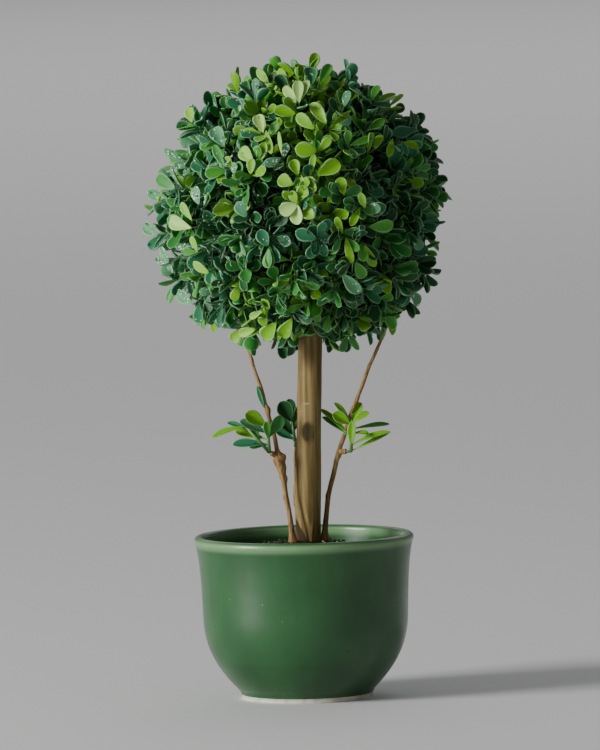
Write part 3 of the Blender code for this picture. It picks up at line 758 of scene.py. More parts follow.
# The paler rim colour mixed from each tint is a painted highlight, where the thick edge catches the light.
RIM_HIGHLIGHT_COLOUR, RIM_HIGHLIGHT_SHARE, LEAF_SHINE = np.array([0.42, 0.68, 0.38]), 0.32, 0.25


def leaf_finishes(tint):
    """The blade's finish and the paler one of its edge, a painted highlight: satin plastic with a weak
    shine.
    """
    colour, roughness = TINTS[tint]
    rim_highlight = tuple(float(c) for c in np.array(colour) * (1 - RIM_HIGHLIGHT_SHARE) + RIM_HIGHLIGHT_COLOUR * RIM_HIGHLIGHT_SHARE)
    blade_finish = set_finish(new_finish(tint + "_leaf"), {
        "Base Color": colour, "Roughness": roughness, "Specular IOR Level": LEAF_SHINE})
    rim_highlight_finish = set_finish(new_finish(tint + "_rim"), {
        "Base Color": rim_highlight, "Roughness": roughness + 0.05, "Specular IOR Level": LEAF_SHINE})
    return blade_finish, rim_highlight_finish


def mottled(name, first, second, scale, roughness, more=()):
    """A finish whose colour and roughness drift between two values in a soft noise."""
    finish = new_finish(name)
    clouds = cloudy(place_on(finish), scale, 3.0).eased(0.35, 0.65)
    return set_finish(finish, {
        "Base Color": clouds.blend(first, second), "Roughness": roughness + clouds * 0.06, **dict(more)})


finishes = {tint: leaf_finishes(tint) for tint in TINTS}
shoot_finish = mottled("shoot_plastic", (0.080, 0.180, 0.045), (0.130, 0.250, 0.080), 260, 0.42,
                       {"Coat Weight": 0.15})
stem_finish = mottled("stem_plastic", (0.022, 0.075, 0.016), (0.045, 0.120, 0.030), 260, 0.50)

# %% [markdown]
# ## The ball's twigs
# The ball grows by the same rule as its solid: the golden angle spreads twigs evenly over it, seeded
# draws move them a little, and each carries one shoot at its tip and crossed pairs below. Where the
# solid has one large leaf, the real tree has a whole shoot of small ones, so the rule goes on once
# more: each shoot ends in a leaf, with crossed pairs below it that lean further and further out. A
# full ball shows no holes, so thinner twigs come up between the first ones wherever there is room.

# %% Twigs and shoots
CROWN_CENTRE = np.array([0.0012, 0.0, 0.2222])
CROWN_SIDE_REACH, CROWN_TOP_REACH, CROWN_SAG = 0.0725, 0.0700, 0.045
CORE_RADIUS, CROWN_SEED, TWIG_COUNT = 0.0465, 11, 82
TWIG_JITTER, SHORTEST_TWIG, TWIG_SUNK = 0.10, 0.87, 0.0040
SHOOT_REACH, LEAF_TILTS, PAIR_SPACING = 0.0170, (22, 46, 72), 0.0035
BETWEEN_SEED, CANDIDATES, BETWEEN_GAP, BETWEEN_REACH = 23, 210, 11.5, (0.90, 0.99)
LOW_BELOW, LOW_GAP, SEEN_REACH = -0.45, 8.0, 0.98
SEEN_TWIGS = ((0.45, -0.18, -0.88), (0.57, -0.14, -0.81), (0.50, -0.30, -0.81), (0.10, -0.12, 0.99),
              (0.40, -0.12, 0.91), (-0.49, -0.08, 0.87), (-0.64, -0.10, 0.76), (-0.76, -0.14, 0.63),
              (-0.43, -0.14, -0.90), (-0.20, -0.16, -0.97))
GOLDEN_ANGLE = math.pi * (3 - math.sqrt(5))
UP = np.array([0.0, 0.0, 1.0])


def crown_reach(direction):
    """How far the ball goes out in each direction: an ellipsoid, fuller below its middle."""
    level = np.hypot(direction[..., 0], direction[..., 1]) / CROWN_SIDE_REACH
    rise = direction[..., 2] / CROWN_TOP_REACH
    sag = np.sin(2 * np.arcsin(np.clip(direction[..., 2], -1, 1)))
    return (1 - CROWN_SAG * sag) / np.hypot(level, rise)


def spread_evenly(count, first_turn):
    """Directions all over a ball: heights in equal steps from top to bottom, turns a golden angle
    apart."""
    index = np.arange(count)
    height = 1 - 2 * (index + 0.5) / count
    level, turn = np.sqrt(1 - height ** 2), index * GOLDEN_ANGLE + first_turn
    return polar(level, turn, height)


def crown_twigs():
    """Direction, tip distance and turn of each twig: even directions, moved by the seeded draws."""
    draws = np.random.default_rng(CROWN_SEED).uniform(-1.0, 1.0, (TWIG_COUNT, 5))
    direction = unit(spread_evenly(TWIG_COUNT, 0.0) + draws[:, :3] * TWIG_JITTER)
    share = between(SHORTEST_TWIG, 1, (draws[:, 3] + 1) / 2)
    return direction, crown_reach(direction) * share, math.pi * draws[:, 4]


def fork(axis, facing, turn, ranks, halves, tilts):
    """Directions that leave each axis: for every rank and half, the axis times the cosine of the
    tilt, plus an outward vector times its sine. The outward vectors of neighbouring ranks are crossed.
    Returns arrays (axes, ranks, 3) of directions and outward vectors."""
    side = unit(np.cross(axis, facing))[:, None]
    across = np.cross(axis[:, None], side)
    angle = (turn[:, None] + math.pi * halves + math.pi / 2 * ranks)[..., None]
    outward = side * np.cos(angle) + across * np.sin(angle)
    tilted = np.radians(tilts)[..., None]
    return axis[:, None] * np.cos(tilted) + outward * np.sin(tilted), outward


def twigs_between(direction):
    """Thinner twigs in the gaps: of many even directions, those that are furthest from every twig.
    They reach nearly as far as the others. Below, where the ball hangs full, they stand closer and
    reach further. A few more are seen at the top, at the upper and lower left and where the right
    twig enters."""
    draws = np.random.default_rng(BETWEEN_SEED).uniform(0.0, 1.0, (CANDIDATES, 2))
    even = spread_evenly(CANDIDATES, 1.0)
    low = even[:, 2] < LOW_BELOW
    gap = np.degrees(np.arccos(np.clip((even @ direction.T).max(axis=1), -1, 1)))
    clear = gap > np.where(low, LOW_GAP, BETWEEN_GAP)
    share = between(*BETWEEN_REACH, np.maximum(draws[:, 0], low))
    seen = unit(np.array(SEEN_TWIGS))
    found = [(even[clear], seen), ((crown_reach(even) * share)[clear], crown_reach(seen) * SEEN_REACH),
             ((math.pi * draws[:, 1])[clear], np.arange(len(seen)) * GOLDEN_ANGLE)]
    return [np.concatenate(pair) for pair in found]


# %% Shoots on the twigs
TILT_SWAY, TURN_SWAY = 7, 0.09


def shoots_of(direction, tip_distance, twig_turn, ranks, halves, sway):
    """Axes and roots of the shoots on each twig: a fork at the twig's end whose lower pairs stand one
    spacing further in, with each shoot swayed a little."""
    node = tip_distance - SHOOT_REACH * math.cos(math.radians(LEAF_TILTS[0]))
    tilts = np.array(LEAF_TILTS)[ranks] + TILT_SWAY * sway[0]
    upright = np.broadcast_to(UP, direction.shape)
    axis, _ = fork(direction, upright, twig_turn, ranks, halves + TURN_SWAY * sway[1], tilts)
    root = CROWN_CENTRE + direction[:, None] * (node[:, None] - PAIR_SPACING * ranks)[..., None]
    return axis.reshape(-1, 3), root.reshape(-1, 3), node


# %% Grow them
SIDE_SHOOTS = 5
ranks = np.array([0, 1, 1, 2, 2, 1, 1, 2, 2])
halves = np.array([0, 0, 1, 0, 1, 0.5, 1.5, 0.5, 1.5])
first_twigs = crown_twigs()
more_twigs = twigs_between(first_twigs[0])
is_extra = np.arange(len(ranks)) >= SIDE_SHOOTS
sway = np.random.default_rng(17).normal(0, 1, (2, TWIG_COUNT, len(ranks))) * is_extra
more_sway = np.random.default_rng(18).normal(0, 1, (2, len(more_twigs[0]), SIDE_SHOOTS))
axis_sets, root_sets, node_sets = zip(
    shoots_of(*first_twigs, ranks, halves, sway),
    shoots_of(*more_twigs, ranks[:SIDE_SHOOTS], halves[:SIDE_SHOOTS], more_sway))
shoot_axis, shoot_root = np.concatenate(axis_sets), np.concatenate(root_sets)
direction = np.concatenate([first_twigs[0], more_twigs[0]])
node_distance = np.concatenate(node_sets)
print(TWIG_COUNT, "twigs and", len(more_twigs[0]), "between them carry", len(shoot_axis), "shoots")

# %% [markdown]
# ## Leaves on the shoots
# On a real sprig no two leaves lie alike. Every leaf gets its own small draws of turn, tilt, twist,
# length, width and cup. A leaf whose tip would leave the ball's outline slides back inwards until it
# is inside, and one that would touch the stick or a twig is left out, both as in the solid. So is
# one that hangs before the top of the stick, which is bare in front.

# %% Leaves of the ball
LEAF_LENGTH, LEAF_WIDTH_SHARE = 0.0104, 0.50
FINE_TILTS, FINE_SPACING = (14, 40, 62, 80), 0.0021
# Each pair is a middle value and a spread, or the ends of a range.
FACING_LEAN, FACING_DRIFT, LENGTHS, LENGTH_ENDS = 0.35, 0.28, (1.0, 0.11), (0.72, 1.22)
SWELLS, CUPS, BENDS = (1.75, 2.4), (0.34, 0.16), (-0.02, 0.09)
WIDTH_SHARES, WIDTH_ENDS = (LEAF_WIDTH_SHARE, 0.06), (0.34, 0.66)
TILT_SPREAD, TURN_SPREAD, FACING_SPREAD, NODE_SPREAD = 9, 0.07, 0.35, 0.0003
luck = np.random.default_rng(29)
fine_ranks, fine_halves = np.array([0, 1, 1, 2, 2, 3, 3]), np.array([0, 0, 1, 0, 1, 0, 1])
shoots, leaves_each = len(shoot_axis), len(fine_ranks)
size, count = (shoots, leaves_each), shoots * leaves_each
fine_tilts = np.array(FINE_TILTS)[fine_ranks] + luck.normal(0, TILT_SPREAD, size)
shoot_facing = unit(unit(shoot_root - CROWN_CENTRE) + luck.normal(0, FACING_SPREAD, (shoots, 3)))
leaf_axis, leaf_outward = fork(shoot_axis, shoot_facing, luck.uniform(0, math.pi, shoots), fine_ranks,
                               fine_halves + luck.normal(0, TURN_SPREAD, size), fine_tilts)
leaf_node = SHOOT_REACH - LEAF_LENGTH - FINE_SPACING * fine_ranks + luck.normal(0, NODE_SPREAD, size)
leaf_root = shoot_root[:, None] + shoot_axis[:, None] * leaf_node[..., None]
facing = unit(shoot_axis[:, None] - leaf_outward * FACING_LEAN + luck.normal(0, FACING_DRIFT, (*size, 3)))
ball_leaves = {
    "root": leaf_root.reshape(-1, 3), "along": leaf_axis.reshape(-1, 3), "facing": facing.reshape(-1, 3),
    "length": LEAF_LENGTH * np.clip(luck.normal(*LENGTHS, count), *LENGTH_ENDS),
    "swell": luck.uniform(*SWELLS, count), "cup": luck.normal(*CUPS, count),
    "bend": luck.normal(*BENDS, count), "shoot": np.repeat(np.arange(shoots), leaves_each),
}
width_share = np.clip(luck.normal(*WIDTH_SHARES, count), *WIDTH_ENDS)
ball_leaves["width"] = ball_leaves["length"] * width_share


def inside_reach(leaves, share=0.995):
    """Slides each leaf in towards the ball's middle by what its tip stands out of a share of the
    outline."""
    tip = spot_on(leaves, 1.0) - CROWN_CENTRE
    distance = np.linalg.norm(tip, axis=1)
    over = np.maximum(distance - crown_reach(tip / distance[:, None]) * share, 0)
    leaves["root"] = leaves["root"] - tip / distance[:, None] * over[:, None]
    return over


over = inside_reach(ball_leaves)
print(f"{(over > 0).sum()} of {len(over)} leaves slid in, by {over.max() * 1000:.1f} mm at most")


# %% Keep clear of the limbs
STICK_THICK, TWIG_THICK, WIDEST_PLACE = 0.0056, 0.0011, 0.6


def limb_lines():
    """Starts, runs and radii of the straight pieces of the stick and the twigs."""
    lines = [(stick_path[::20], STICK_THICK)] + [(path[::12], TWIG_THICK) for path in stem_paths.values()]
    starts = np.concatenate([path[:-1] for path, _ in lines])
    runs = np.concatenate([np.diff(path, axis=0) for path, _ in lines])
    return starts, runs, np.concatenate([np.full(len(path) - 1, radius) for path, radius in lines])


def gap_to_limbs(points):
    """The smallest distance of each point from any limb's side: from the nearest place on each
    straight piece, minus the piece's radius."""
    starts, runs, radii = limb_lines()
    offset = points[:, None] - starts
    share = np.clip((offset * runs).sum(-1) / (runs * runs).sum(-1), 0, 1)
    return (np.linalg.norm(offset - runs * share[..., None], axis=-1) - radii).min(axis=1)


LEAF_GAP, BARE_TO, BARE_SIDE = 0.0010, 0.1630, 0.0065
lowest_pair = np.tile(fine_ranks == fine_ranks.max(), shoots)
thin_pair = (ball_leaves["shoot"] >= TWIG_COUNT * len(ranks)) & lowest_pair
gap = np.where(thin_pair, 0.0, np.inf)
for share in (0.0, 0.35, 0.7, 1.0):
    spot = spot_on(ball_leaves, share)
    near_stick = np.abs(spot[:, 0] - TRUNK_TOP[0]) < BARE_SIDE
    before_stick = near_stick & (spot[:, 1] < 0) & (spot[:, 2] < BARE_TO)
    gap = np.where(before_stick, 0.0, np.minimum(gap, gap_to_limbs(spot)))
ball_leaves = pick(ball_leaves, gap > LEAF_GAP)
print((gap <= LEAF_GAP).sum(), "leaves left out: beside the limbs, or a thin shoot's lowest pair")

# %% [markdown]
# ## Dealing the colours
# The sprigs that were pushed in last are the bright ones, and they stand in a loose band over the
# middle and in a few clumps. So a sprig's colour is drawn with odds that change from side to side
# and, in the middle, from top to bottom. The clumps that stand out are named by where they are, seen
# from the front.

# %% The odds and the clumps
ODDS_LEFT = (0.30, 0.25, 0.06, 0.14, 0.05, 0.02, 0.18)
ODDS_HIGH = (0.12, 0.20, 0.09, 0.26, 0.21, 0.06, 0.06)
ODDS_LOW = (0.23, 0.25, 0.20, 0.12, 0.08, 0.02, 0.10)
# The right's odds favour deep green: painted shade on the side away from the light.
ODDS_RIGHT_SHADED = (0.20, 0.25, 0.30, 0.12, 0.09, 0.01, 0.03)
SIDE_SLIDE, HIGH_FROM, HIGH_SLIDE, VIEW_SLOPE, CLUMP_REACH = 0.045, -0.012, 0.026, 0.053, 0.006
# Where the middle of each clump is seen, across and up from the ball's middle in millimetres.
CLUMPS = {
    "yellow_green": ((-8, 40), (3, 31), (1, 10), (12, 15), (2, 22), (6, 44), (41, 44), (-11, -55),
                     (-17, -49), (-15, -60), (-64, 9), (-3, 59), (6, 60)),
    "fresh_green": ((3, -50), (14, 58)),
    "blue_green": ((3, -15), (46, 33), (27, 55), (-21, 51), (-41, 43)),
    "frosted": ((23, -37), (-35, -20), (-46, 4), (-66, -12), (-31, 24), (-52, 17), (-42, -36), (-7, 14),
                (42, 11), (-58, -22)),
    "deep_green": ((-10, 5), (-20, -8), (26, -10), (22, -22), (34, -26), (34, 12)),
    "mid_green": ((-33, 47),),
}


def by_tint(table):
    """The rows of a table that is kept by tint, as one array, and the number of each row's tint."""
    rows = np.array([row for tint in table for row in table[tint]], float)
    numbers, counts = zip(*[(TINT_NAMES.index(tint), len(table[tint])) for tint in table])
    return rows, np.repeat(numbers, counts)


# %% Deal a tint to each shoot
def as_seen(place):
    """Where a place is seen across and up from the front. The view looks down a little, so what is
    nearer is seen lower, by its distance times the view's slope."""
    return np.stack([place[..., 0], place[..., 2] + place[..., 1] * VIEW_SLOPE], axis=-1)


def deal_tints(place):
    """A tint's number for each shoot: its seeded draw against the summed odds, which slide from the
    left's to the middle's to the right's, the middle's from low to high, then the nearest named clump
    within its reach at the front. The right's odds lean to the deep green as painted shade."""
    draw = np.random.default_rng(41).uniform(0, 1, len(place))
    x = np.clip(place[:, 0] / SIDE_SLIDE, -1, 1)[:, None]
    high = np.clip((place[:, 2] - HIGH_FROM) / HIGH_SLIDE, 0, 1)[:, None]
    middle = high * np.array(ODDS_HIGH) + (1 - high) * np.array(ODDS_LOW)
    odds = (np.maximum(-x, 0) * np.array(ODDS_LEFT) + (1 - np.abs(x)) * middle
            + np.maximum(x, 0) * np.array(ODDS_RIGHT_SHADED))
    tint = (np.cumsum(odds, axis=1) < draw[:, None]).sum(axis=1).clip(0, len(ODDS_LEFT) - 1)
    spots, named = by_tint(CLUMPS)
    away = np.linalg.norm(as_seen(place)[:, None] - spots / 1000, axis=-1)
    return np.where((away.min(axis=1) < CLUMP_REACH) & (place[:, 1] < 0), named[away.argmin(axis=1)], tint)


LEAFY_SHARE = 0.8
leafy_place = shoot_root + shoot_axis * SHOOT_REACH * LEAFY_SHARE - CROWN_CENTRE
shoot_tint = deal_tints(leafy_place)
leaf_tint = shoot_tint[ball_leaves["shoot"]]
print({name: int((shoot_tint == number).sum()) for number, name in enumerate(TINT_NAMES)})

# %% [markdown]
# ## Leaves that are seen one by one
# On the front of the ball some large bright leaves lie on top of the rest. They are the last that were
# pushed in, and the eye knows the tree by them. The rule can't guess them, so they are listed by tint:
# where the root is seen, across and up from the ball's middle in millimetres, and the leaf's heading,
# length and width. Each has a stem of its own that comes straight out of the core, and lies on the
# ball's curve, so that it belongs to the ball from every side. Leaves that would hide it are left out.

# %% The leaves that stand out
SEEN_LEAVES = {
    "pale_lime": (
        (0, 43, 126, 9.6, 4.5), (1, 43, 91, 9.8, 5.4), (1, 43, 66, 10.6, 4.2), (0, -1, 204, 9.4, 6.7),
        (-1, -1, 271, 9.4, 6.3), (-15, 30, 107, 8.5, 5.8), (-47, -11, 162, 12.2, 6.7)),
    "lime": (
        (13, 33, 122, 13.9, 5.8), (-3, 51, 117, 12.2, 4.0), (5, 10, 79, 10.9, 3.1),
        (-2, 7, 155, 7.8, 6.7), (29, -4, 106, 7.5, 3.6), (-47, 36, 100, 6.8, 5.4),
        (-14, 32, 283, 11.1, 3.6), (-7, 20, 96, 10.8, 2.0), (-19, 17, 134, 9.5, 6.7),
        (-12, 53, 128, 9.2, 4.0), (-47, -8, 119, 9.8, 4.0), (-45, -22, 111, 8.2, 4.0),
        (-40, -31, 150, 9.2, 4.9), (-20, -56, 198, 8.1, 4.5), (-17, -48, 210, 6.8, 3.1),
        (-29, -60, 236, 7.4, 5.8)),
    "yellow_green": (
        (0, 38, 169, 10.4, 6.7), (8, 31, 139, 11.1, 5.8), (14, 32, 34, 11.5, 3.6),
        (38, 48, 17, 11.3, 2.7), (42, 27, 256, 8.2, 3.6), (9, 22, 174, 10.3, 7.6), (34, 22, 67, 7.2, 4.0),
        (8, 11, 28, 11.8, 7.6), (0, 11, 109, 7.6, 5.4), (20, 2, 104, 8.4, 5.8), (-1, -2, 107, 7.1, 4.5),
        (19, -15, 111, 8.2, 3.6), (27, -3, 241, 9.6, 4.0), (20, -16, 283, 12.5, 4.0),
        (28, -19, 292, 14.6, 4.5), (-21, 12, 82, 7.2, 4.5), (-11, -53, 233, 9.9, 7.6),
        (-4, -51, 242, 11.0, 6.7)),
    "fresh_green": (
        (11, 55, 61, 12.6, 4.9), (34, 45, 63, 8.4, 4.0), (23, 24, 16, 10.3, 3.6), (30, -12, 3, 11.2, 6.3),
        (24, -27, 297, 8.6, 5.4)),
    "blue_green": (
        (7, 52, 95, 8.5, 6.7), (53, 31, 191, 12.4, 6.3), (46, 26, 287, 7.1, 3.1),
        (8, -17, 159, 10.5, 6.3), (-23, -7, 121, 8.4, 6.3), (-14, -20, 113, 8.8, 6.3)),
    "frosted": (
        (21, 41, 75, 7.4, 4.5), (18, -32, 311, 13.9, 6.3), (-44, -1, 103, 8.8, 5.4),
        (-32, 24, 120, 10.4, 7.2), (-64, -14, 147, 8.4, 6.3), (-58, -26, 122, 8.1, 4.9),
        (-47, -45, 148, 10.4, 6.3)),
    "mid_green": (
        (-32, 15, 117, 13.2, 4.0), (-57, 7, 150, 11.2, 6.7)),
}
SEEN_DEPTH, STEEPEST, LONGEST, SEEN_FACING = 0.905, 0.7, 0.0140, np.array([-0.30, -0.75, 0.15])
BELOW_RANKS, BELOW_HALVES = np.array([0, 0, 1, 1, 2, 2]), np.array([0, 1, 0.5, 1.5, 0.25, 1.25])
BELOW_TILTS, BELOW_TILT_SPREAD, BELOW_SPACING = (62, 52, 44), 7, 0.0026
PLACED_REACH, BELOW_REACH, HIDING_DEPTH = 0.96, 0.95, 0.0010


# %% Where the listed leaves grow
def seen_roots(spots):
    """Roots on the front of the ball: each lies out from the middle by a share of the reach in its own
    direction. The depth and the height depend on each other, so the sum is repeated until it rests."""
    root = np.stack([spots[:, 0], 0 * spots[:, 0], spots[:, 1]], axis=-1)
    for _ in range(8):
        reach = crown_reach(unit(root)) * SEEN_DEPTH
        root[:, 2] = spots[:, 1] - VIEW_SLOPE * root[:, 1]
        root[:, 1] = -np.sqrt(np.maximum(reach ** 2 - root[:, 0] ** 2 - root[:, 2] ** 2, 0))
    return root


def seen_leaves():
    """The arrays of the listed leaves, their stems' roots and their tints. A leaf runs along the ball's
    curve: it leans back by what its heading shares with the way out, divided by the way to the
    front, and is as much longer as the lean hides. It faces outwards and to the front."""
    rows, tint = by_tint(SEEN_LEAVES)
    root = seen_roots(rows[:, :2] / 1000)
    out = unit(root)
    heading = np.radians(rows[:, 2])
    across, up = np.cos(heading), np.sin(heading)
    lean = (out[:, 0] * across + out[:, 2] * up) / np.maximum(-out[:, 1], 0.2)
    lean = np.clip(lean, -STEEPEST, STEEPEST)
    draws = np.random.default_rng(61).uniform(-1, 1, (4, len(rows)))
    leaves = {
        "root": root + CROWN_CENTRE, "along": unit(np.stack([across, lean, up], axis=-1)),
        "facing": unit(out * 0.6 + SEEN_FACING + draws[:3].T * 0.38),
        "length": np.minimum(rows[:, 3] / 1000 * np.sqrt(1 + lean ** 2), LONGEST),
        "width": rows[:, 4] / 1000, "swell": 1.65 + 0.25 * draws[3], "cup": 0.40 + 0.24 * draws[0],
        "bend": -0.04 + 0.10 * draws[1], "shoot": np.full(len(rows), -1),
    }
    return leaves, CROWN_CENTRE + out * (CORE_RADIUS - TWIG_SUNK), tint


# %% Ordinary leaves below them
def leaves_below(leaves, stem_root):
    """Ordinary leaves on the stems of the listed ones and their tints: three turned pairs below each,
    which lean far out and close the gap round the stem."""
    draws = np.random.default_rng(62)
    out = unit(leaves["root"] - stem_root)
    size = (len(out), len(BELOW_RANKS))
    along, outward = fork(
        out, np.broadcast_to(UP, out.shape), draws.uniform(0, math.pi, len(out)), BELOW_RANKS,
        BELOW_HALVES + draws.normal(0, TURN_SPREAD, size),
        np.array(BELOW_TILTS)[BELOW_RANKS] + draws.normal(0, BELOW_TILT_SPREAD, size))
    root = leaves["root"][:, None] - out[:, None] * (BELOW_SPACING * (BELOW_RANKS + 0.4))[None, :, None]
    facing = unit(out[:, None] - outward * FACING_LEAN + draws.normal(0, FACING_DRIFT, (*size, 3)))
    length = LEAF_LENGTH * np.clip(draws.normal(*LENGTHS, size), *LENGTH_ENDS).ravel()
    count = len(length)
    found = {
        "root": root.reshape(-1, 3), "along": along.reshape(-1, 3), "facing": facing.reshape(-1, 3),
        "length": length, "width": length * draws.normal(LEAF_WIDTH_SHARE, 0.05, count),
        "swell": draws.uniform(*SWELLS, count), "cup": draws.normal(*CUPS, count),
        "bend": draws.normal(*BENDS, count), "shoot": np.full(count, -1),
    }
    return found, deal_tints(found["root"] - CROWN_CENTRE)


def hides(leaves, placed):
    """Whether a leaf lies before one of the placed ones: a point of it is seen nearer to the placed
    leaf's middle line than half the width, and isn't behind it."""
    start = as_seen(placed["root"])
    run = as_seen(spot_on(placed, 1.0)) - start
    found = np.zeros(len(leaves["root"]), bool)
    for share in (0.35, 0.7, 1.0):
        point = spot_on(leaves, share)
        offset = as_seen(point)[:, None] - start
        way = np.clip((offset * run).sum(-1) / (run * run).sum(-1), 0.25, 1)
        away = np.linalg.norm(offset - run * way[..., None], axis=-1)
        depth = placed["root"][:, 1] + placed["along"][:, 1] * placed["length"] * way
        found |= ((away < placed["width"] / 2) & (point[:, 1:2] < depth + HIDING_DEPTH)).any(axis=1)
    return found


# %% Join them to the others
placed, stem_root, seen_tint = seen_leaves()
inside_reach(placed, PLACED_REACH)
free = gap_to_limbs(spot_on(placed, WIDEST_PLACE)) > LEAF_GAP
free &= gap_to_limbs(placed["root"]) > LEAF_GAP
placed, stem_root, seen_tint = pick(placed, free), stem_root[free], seen_tint[free]
below, below_tint = leaves_below(placed, stem_root)
inside_reach(below, BELOW_REACH)
free = gap_to_limbs(spot_on(below, WIDEST_PLACE)) > LEAF_GAP
leaf_tint = np.concatenate([leaf_tint, below_tint[free]])
ball_leaves = {key: np.concatenate([values, below[key][free]]) for key, values in ball_leaves.items()}
shown = ~hides(ball_leaves, placed)
print(len(seen_tint), "leaves placed,", (~shown).sum(), "left out before them")
leaf_tint = np.concatenate([leaf_tint[shown], seen_tint])
ball_leaves = {key: np.concatenate([values[shown], placed[key]]) for key, values in ball_leaves.items()}

# %% Make the leaves of the ball
for number, tint in enumerate(TINT_NAMES):
    chosen = pick(ball_leaves, leaf_tint == number)
    piece = put_leaves("ball_leaves_" + tint, small_leaf, chosen, *finishes[tint])
    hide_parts("crown")

# %% [markdown]
# ## Shoots and twigs inside the ball
# Between the leaves thin pale stems show, and behind them darkness. The stems are rods, each a ring
# of points carried from its root to its tip. Behind them lies the ball that they are stuck in, a
# lumpy dark mass, which is the solid's inner core with relief.


# %% Rods
def put_rods(name, starts, ends, start_radius, end_radius, steps, finish):
    """Closed tapering rods as one piece: each is two rings round its own run, plus a pole at each
    end. The side vectors are square to the run. A radius is one number or an array of one a rod."""
    run = unit(ends - starts)
    side = unit(np.cross(run, np.where(np.abs(run[:, 2:]) < 0.9, UP, np.array([1.0, 0.0, 0.0]))))
    depth = np.cross(run, side)
    angle = full_turn(steps)[None, :, None]
    spoke = side[:, None] * np.cos(angle) + depth[:, None] * np.sin(angle)
    rings = [middle[:, None] + spoke * np.broadcast_to(radius, len(middle))[:, None, None]
             for middle, radius in ((starts, start_radius), (ends, end_radius))]
    block = np.concatenate([*rings, starts[:, None], ends[:, None]], axis=1)
    return put_mesh(name, *repeated(block, tube_faces(2, steps)), [finish])


# %% Shoots, twigs and stems
ROD_GAP, ROD_OVERLAP, STEM_OVERLAP = 0.0015, 0.0004, 0.0008
SHOOT_RADII, STEM_RADII = (0.00050, 0.00034), (0.00045, 0.00028)
FIRST_TWIG_RADIUS, MORE_TWIG_RADIUS, TWIG_TIP_RADIUS = 0.00105, 0.00075, 0.00050
shoot_tip = shoot_root + shoot_axis * (SHOOT_REACH - LEAF_LENGTH)
open_shoots = gap_to_limbs(shoot_tip) > ROD_GAP
shoots_piece = put_rods("ball_shoots", shoot_root[open_shoots], shoot_tip[open_shoots], *SHOOT_RADII, 6,
                        shoot_finish)
twig_root = CROWN_CENTRE + direction * (CORE_RADIUS - TWIG_SUNK)
twig_tip = CROWN_CENTRE + direction * (node_distance[:, None] + ROD_OVERLAP)
clear_twigs = np.minimum(gap_to_limbs(twig_root), gap_to_limbs(twig_tip)) > ROD_GAP
thick = np.where(np.arange(len(direction)) < TWIG_COUNT, FIRST_TWIG_RADIUS, MORE_TWIG_RADIUS)[clear_twigs]
twigs_piece = put_rods("ball_twigs", twig_root[clear_twigs], twig_tip[clear_twigs], thick,
                       TWIG_TIP_RADIUS, 8, shoot_finish)
stem_tip = placed["root"] + placed["along"] * STEM_OVERLAP
stems_piece = put_rods("ball_stems", stem_root, stem_tip, *STEM_RADII, 6, stem_finish)


# %% The dark core
CORE_RINGS, CORE_STEPS, CORE_POLE_GAP, CORE_LUMPS, CORE_DIP = 64, 110, 0.03, 0.0008, 0.0010


def core_rings():
    """A ball whose radius follows a sum of waves, sampled by latitude and longitude."""
    top = math.pi / 2 - CORE_POLE_GAP
    latitude = np.linspace(-top, top, CORE_RINGS)[:, None]
    longitude = full_turn(CORE_STEPS)
    outward = polar(np.cos(latitude), longitude, np.sin(latitude))
    lumps = waves(outward[..., 0] + outward[..., 2] * 0.7, outward[..., 1] - outward[..., 2] * 0.5,
                  21, 26, 0.09, 0.40)
    return CROWN_CENTRE + outward * (CORE_RADIUS + CORE_LUMPS * lumps - CORE_DIP)[..., None]


def core_dark():
    """Painted deep shade among stems: dark green with brown flecks."""
    finish = new_finish("core_painted_shade")
    place = place_on(finish)
    flecks = cloudy(place, 700, 4.0, 0.75)
    # The core's near-black colour is painted shade, the darkness deep inside the ball.
    colour = flecks.eased(0.45, 0.75).blend((0.006, 0.022, 0.008), (0.030, 0.060, 0.018))
    return set_finish(finish, {
        "Base Color": colour, "Roughness": 0.9, "Normal": relief(flecks, 0.8, 0.001)})


core = put_mesh("ball_core", *close_rings(core_rings()), [core_dark()])
for piece in (shoots_piece, twigs_piece, stems_piece, core):
    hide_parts("crown")

# %% [markdown]
# ## Dew and frost
# Clear drops sit on many of the leaves on the left and in the middle, and some leaves are dusted with
# white grains. A drop or grain is a low dome on the upper skin. This small it only shows as a bright
# spot, so two or three rings of a few points and a pole are enough.

# %% Domes on leaves
DOME_SEAT, DOME_ALONG, DOME_ACROSS, DOME_SUNK, DOME_CAP = 0.00016, (0.30, 0.92), (-0.70, 0.70), 0.3, 0.16


def put_domes(name, leaves, chances, sizes, seed, levels, steps, finish):
    """Domes on the upper skins: each sits at a seeded place along and across its leaf. Its rings are
    circles, given as the share of the radius they go out and up, and a pole closes each end. The
    rings turn to the right, so the faces are turned over."""
    draws = np.random.default_rng(seed)
    chosen = np.repeat(np.arange(len(chances)), draws.poisson(chances))
    t, s = draws.uniform(*DOME_ALONG, len(chosen)), draws.uniform(*DOME_ACROSS, len(chosen))
    radius = between(*sizes, draws.uniform(0, 1, len(chosen)) ** 2)[:, None, None]
    under = pick(leaves, chosen)
    middle, side, normal = on_leaves(under, t[:, None], s[:, None], DOME_SEAT)
    angle = full_turn(steps)[:, None]
    spoke = side * np.cos(angle) + under["along"][:, None] * np.sin(angle)
    rings = [middle + spoke * (radius * out) + normal * (radius * up) for out, up in levels]
    poles = [middle - normal * (radius * DOME_SUNK),
             middle + normal * (radius * (levels[-1][1] + DOME_CAP))]
    faces = [np.roll(kind[:, ::-1], 1, axis=1) for kind in tube_faces(len(levels), steps)]
    piece = put_mesh(name, *repeated(np.concatenate([*rings, *poles], axis=1), faces), [finish])


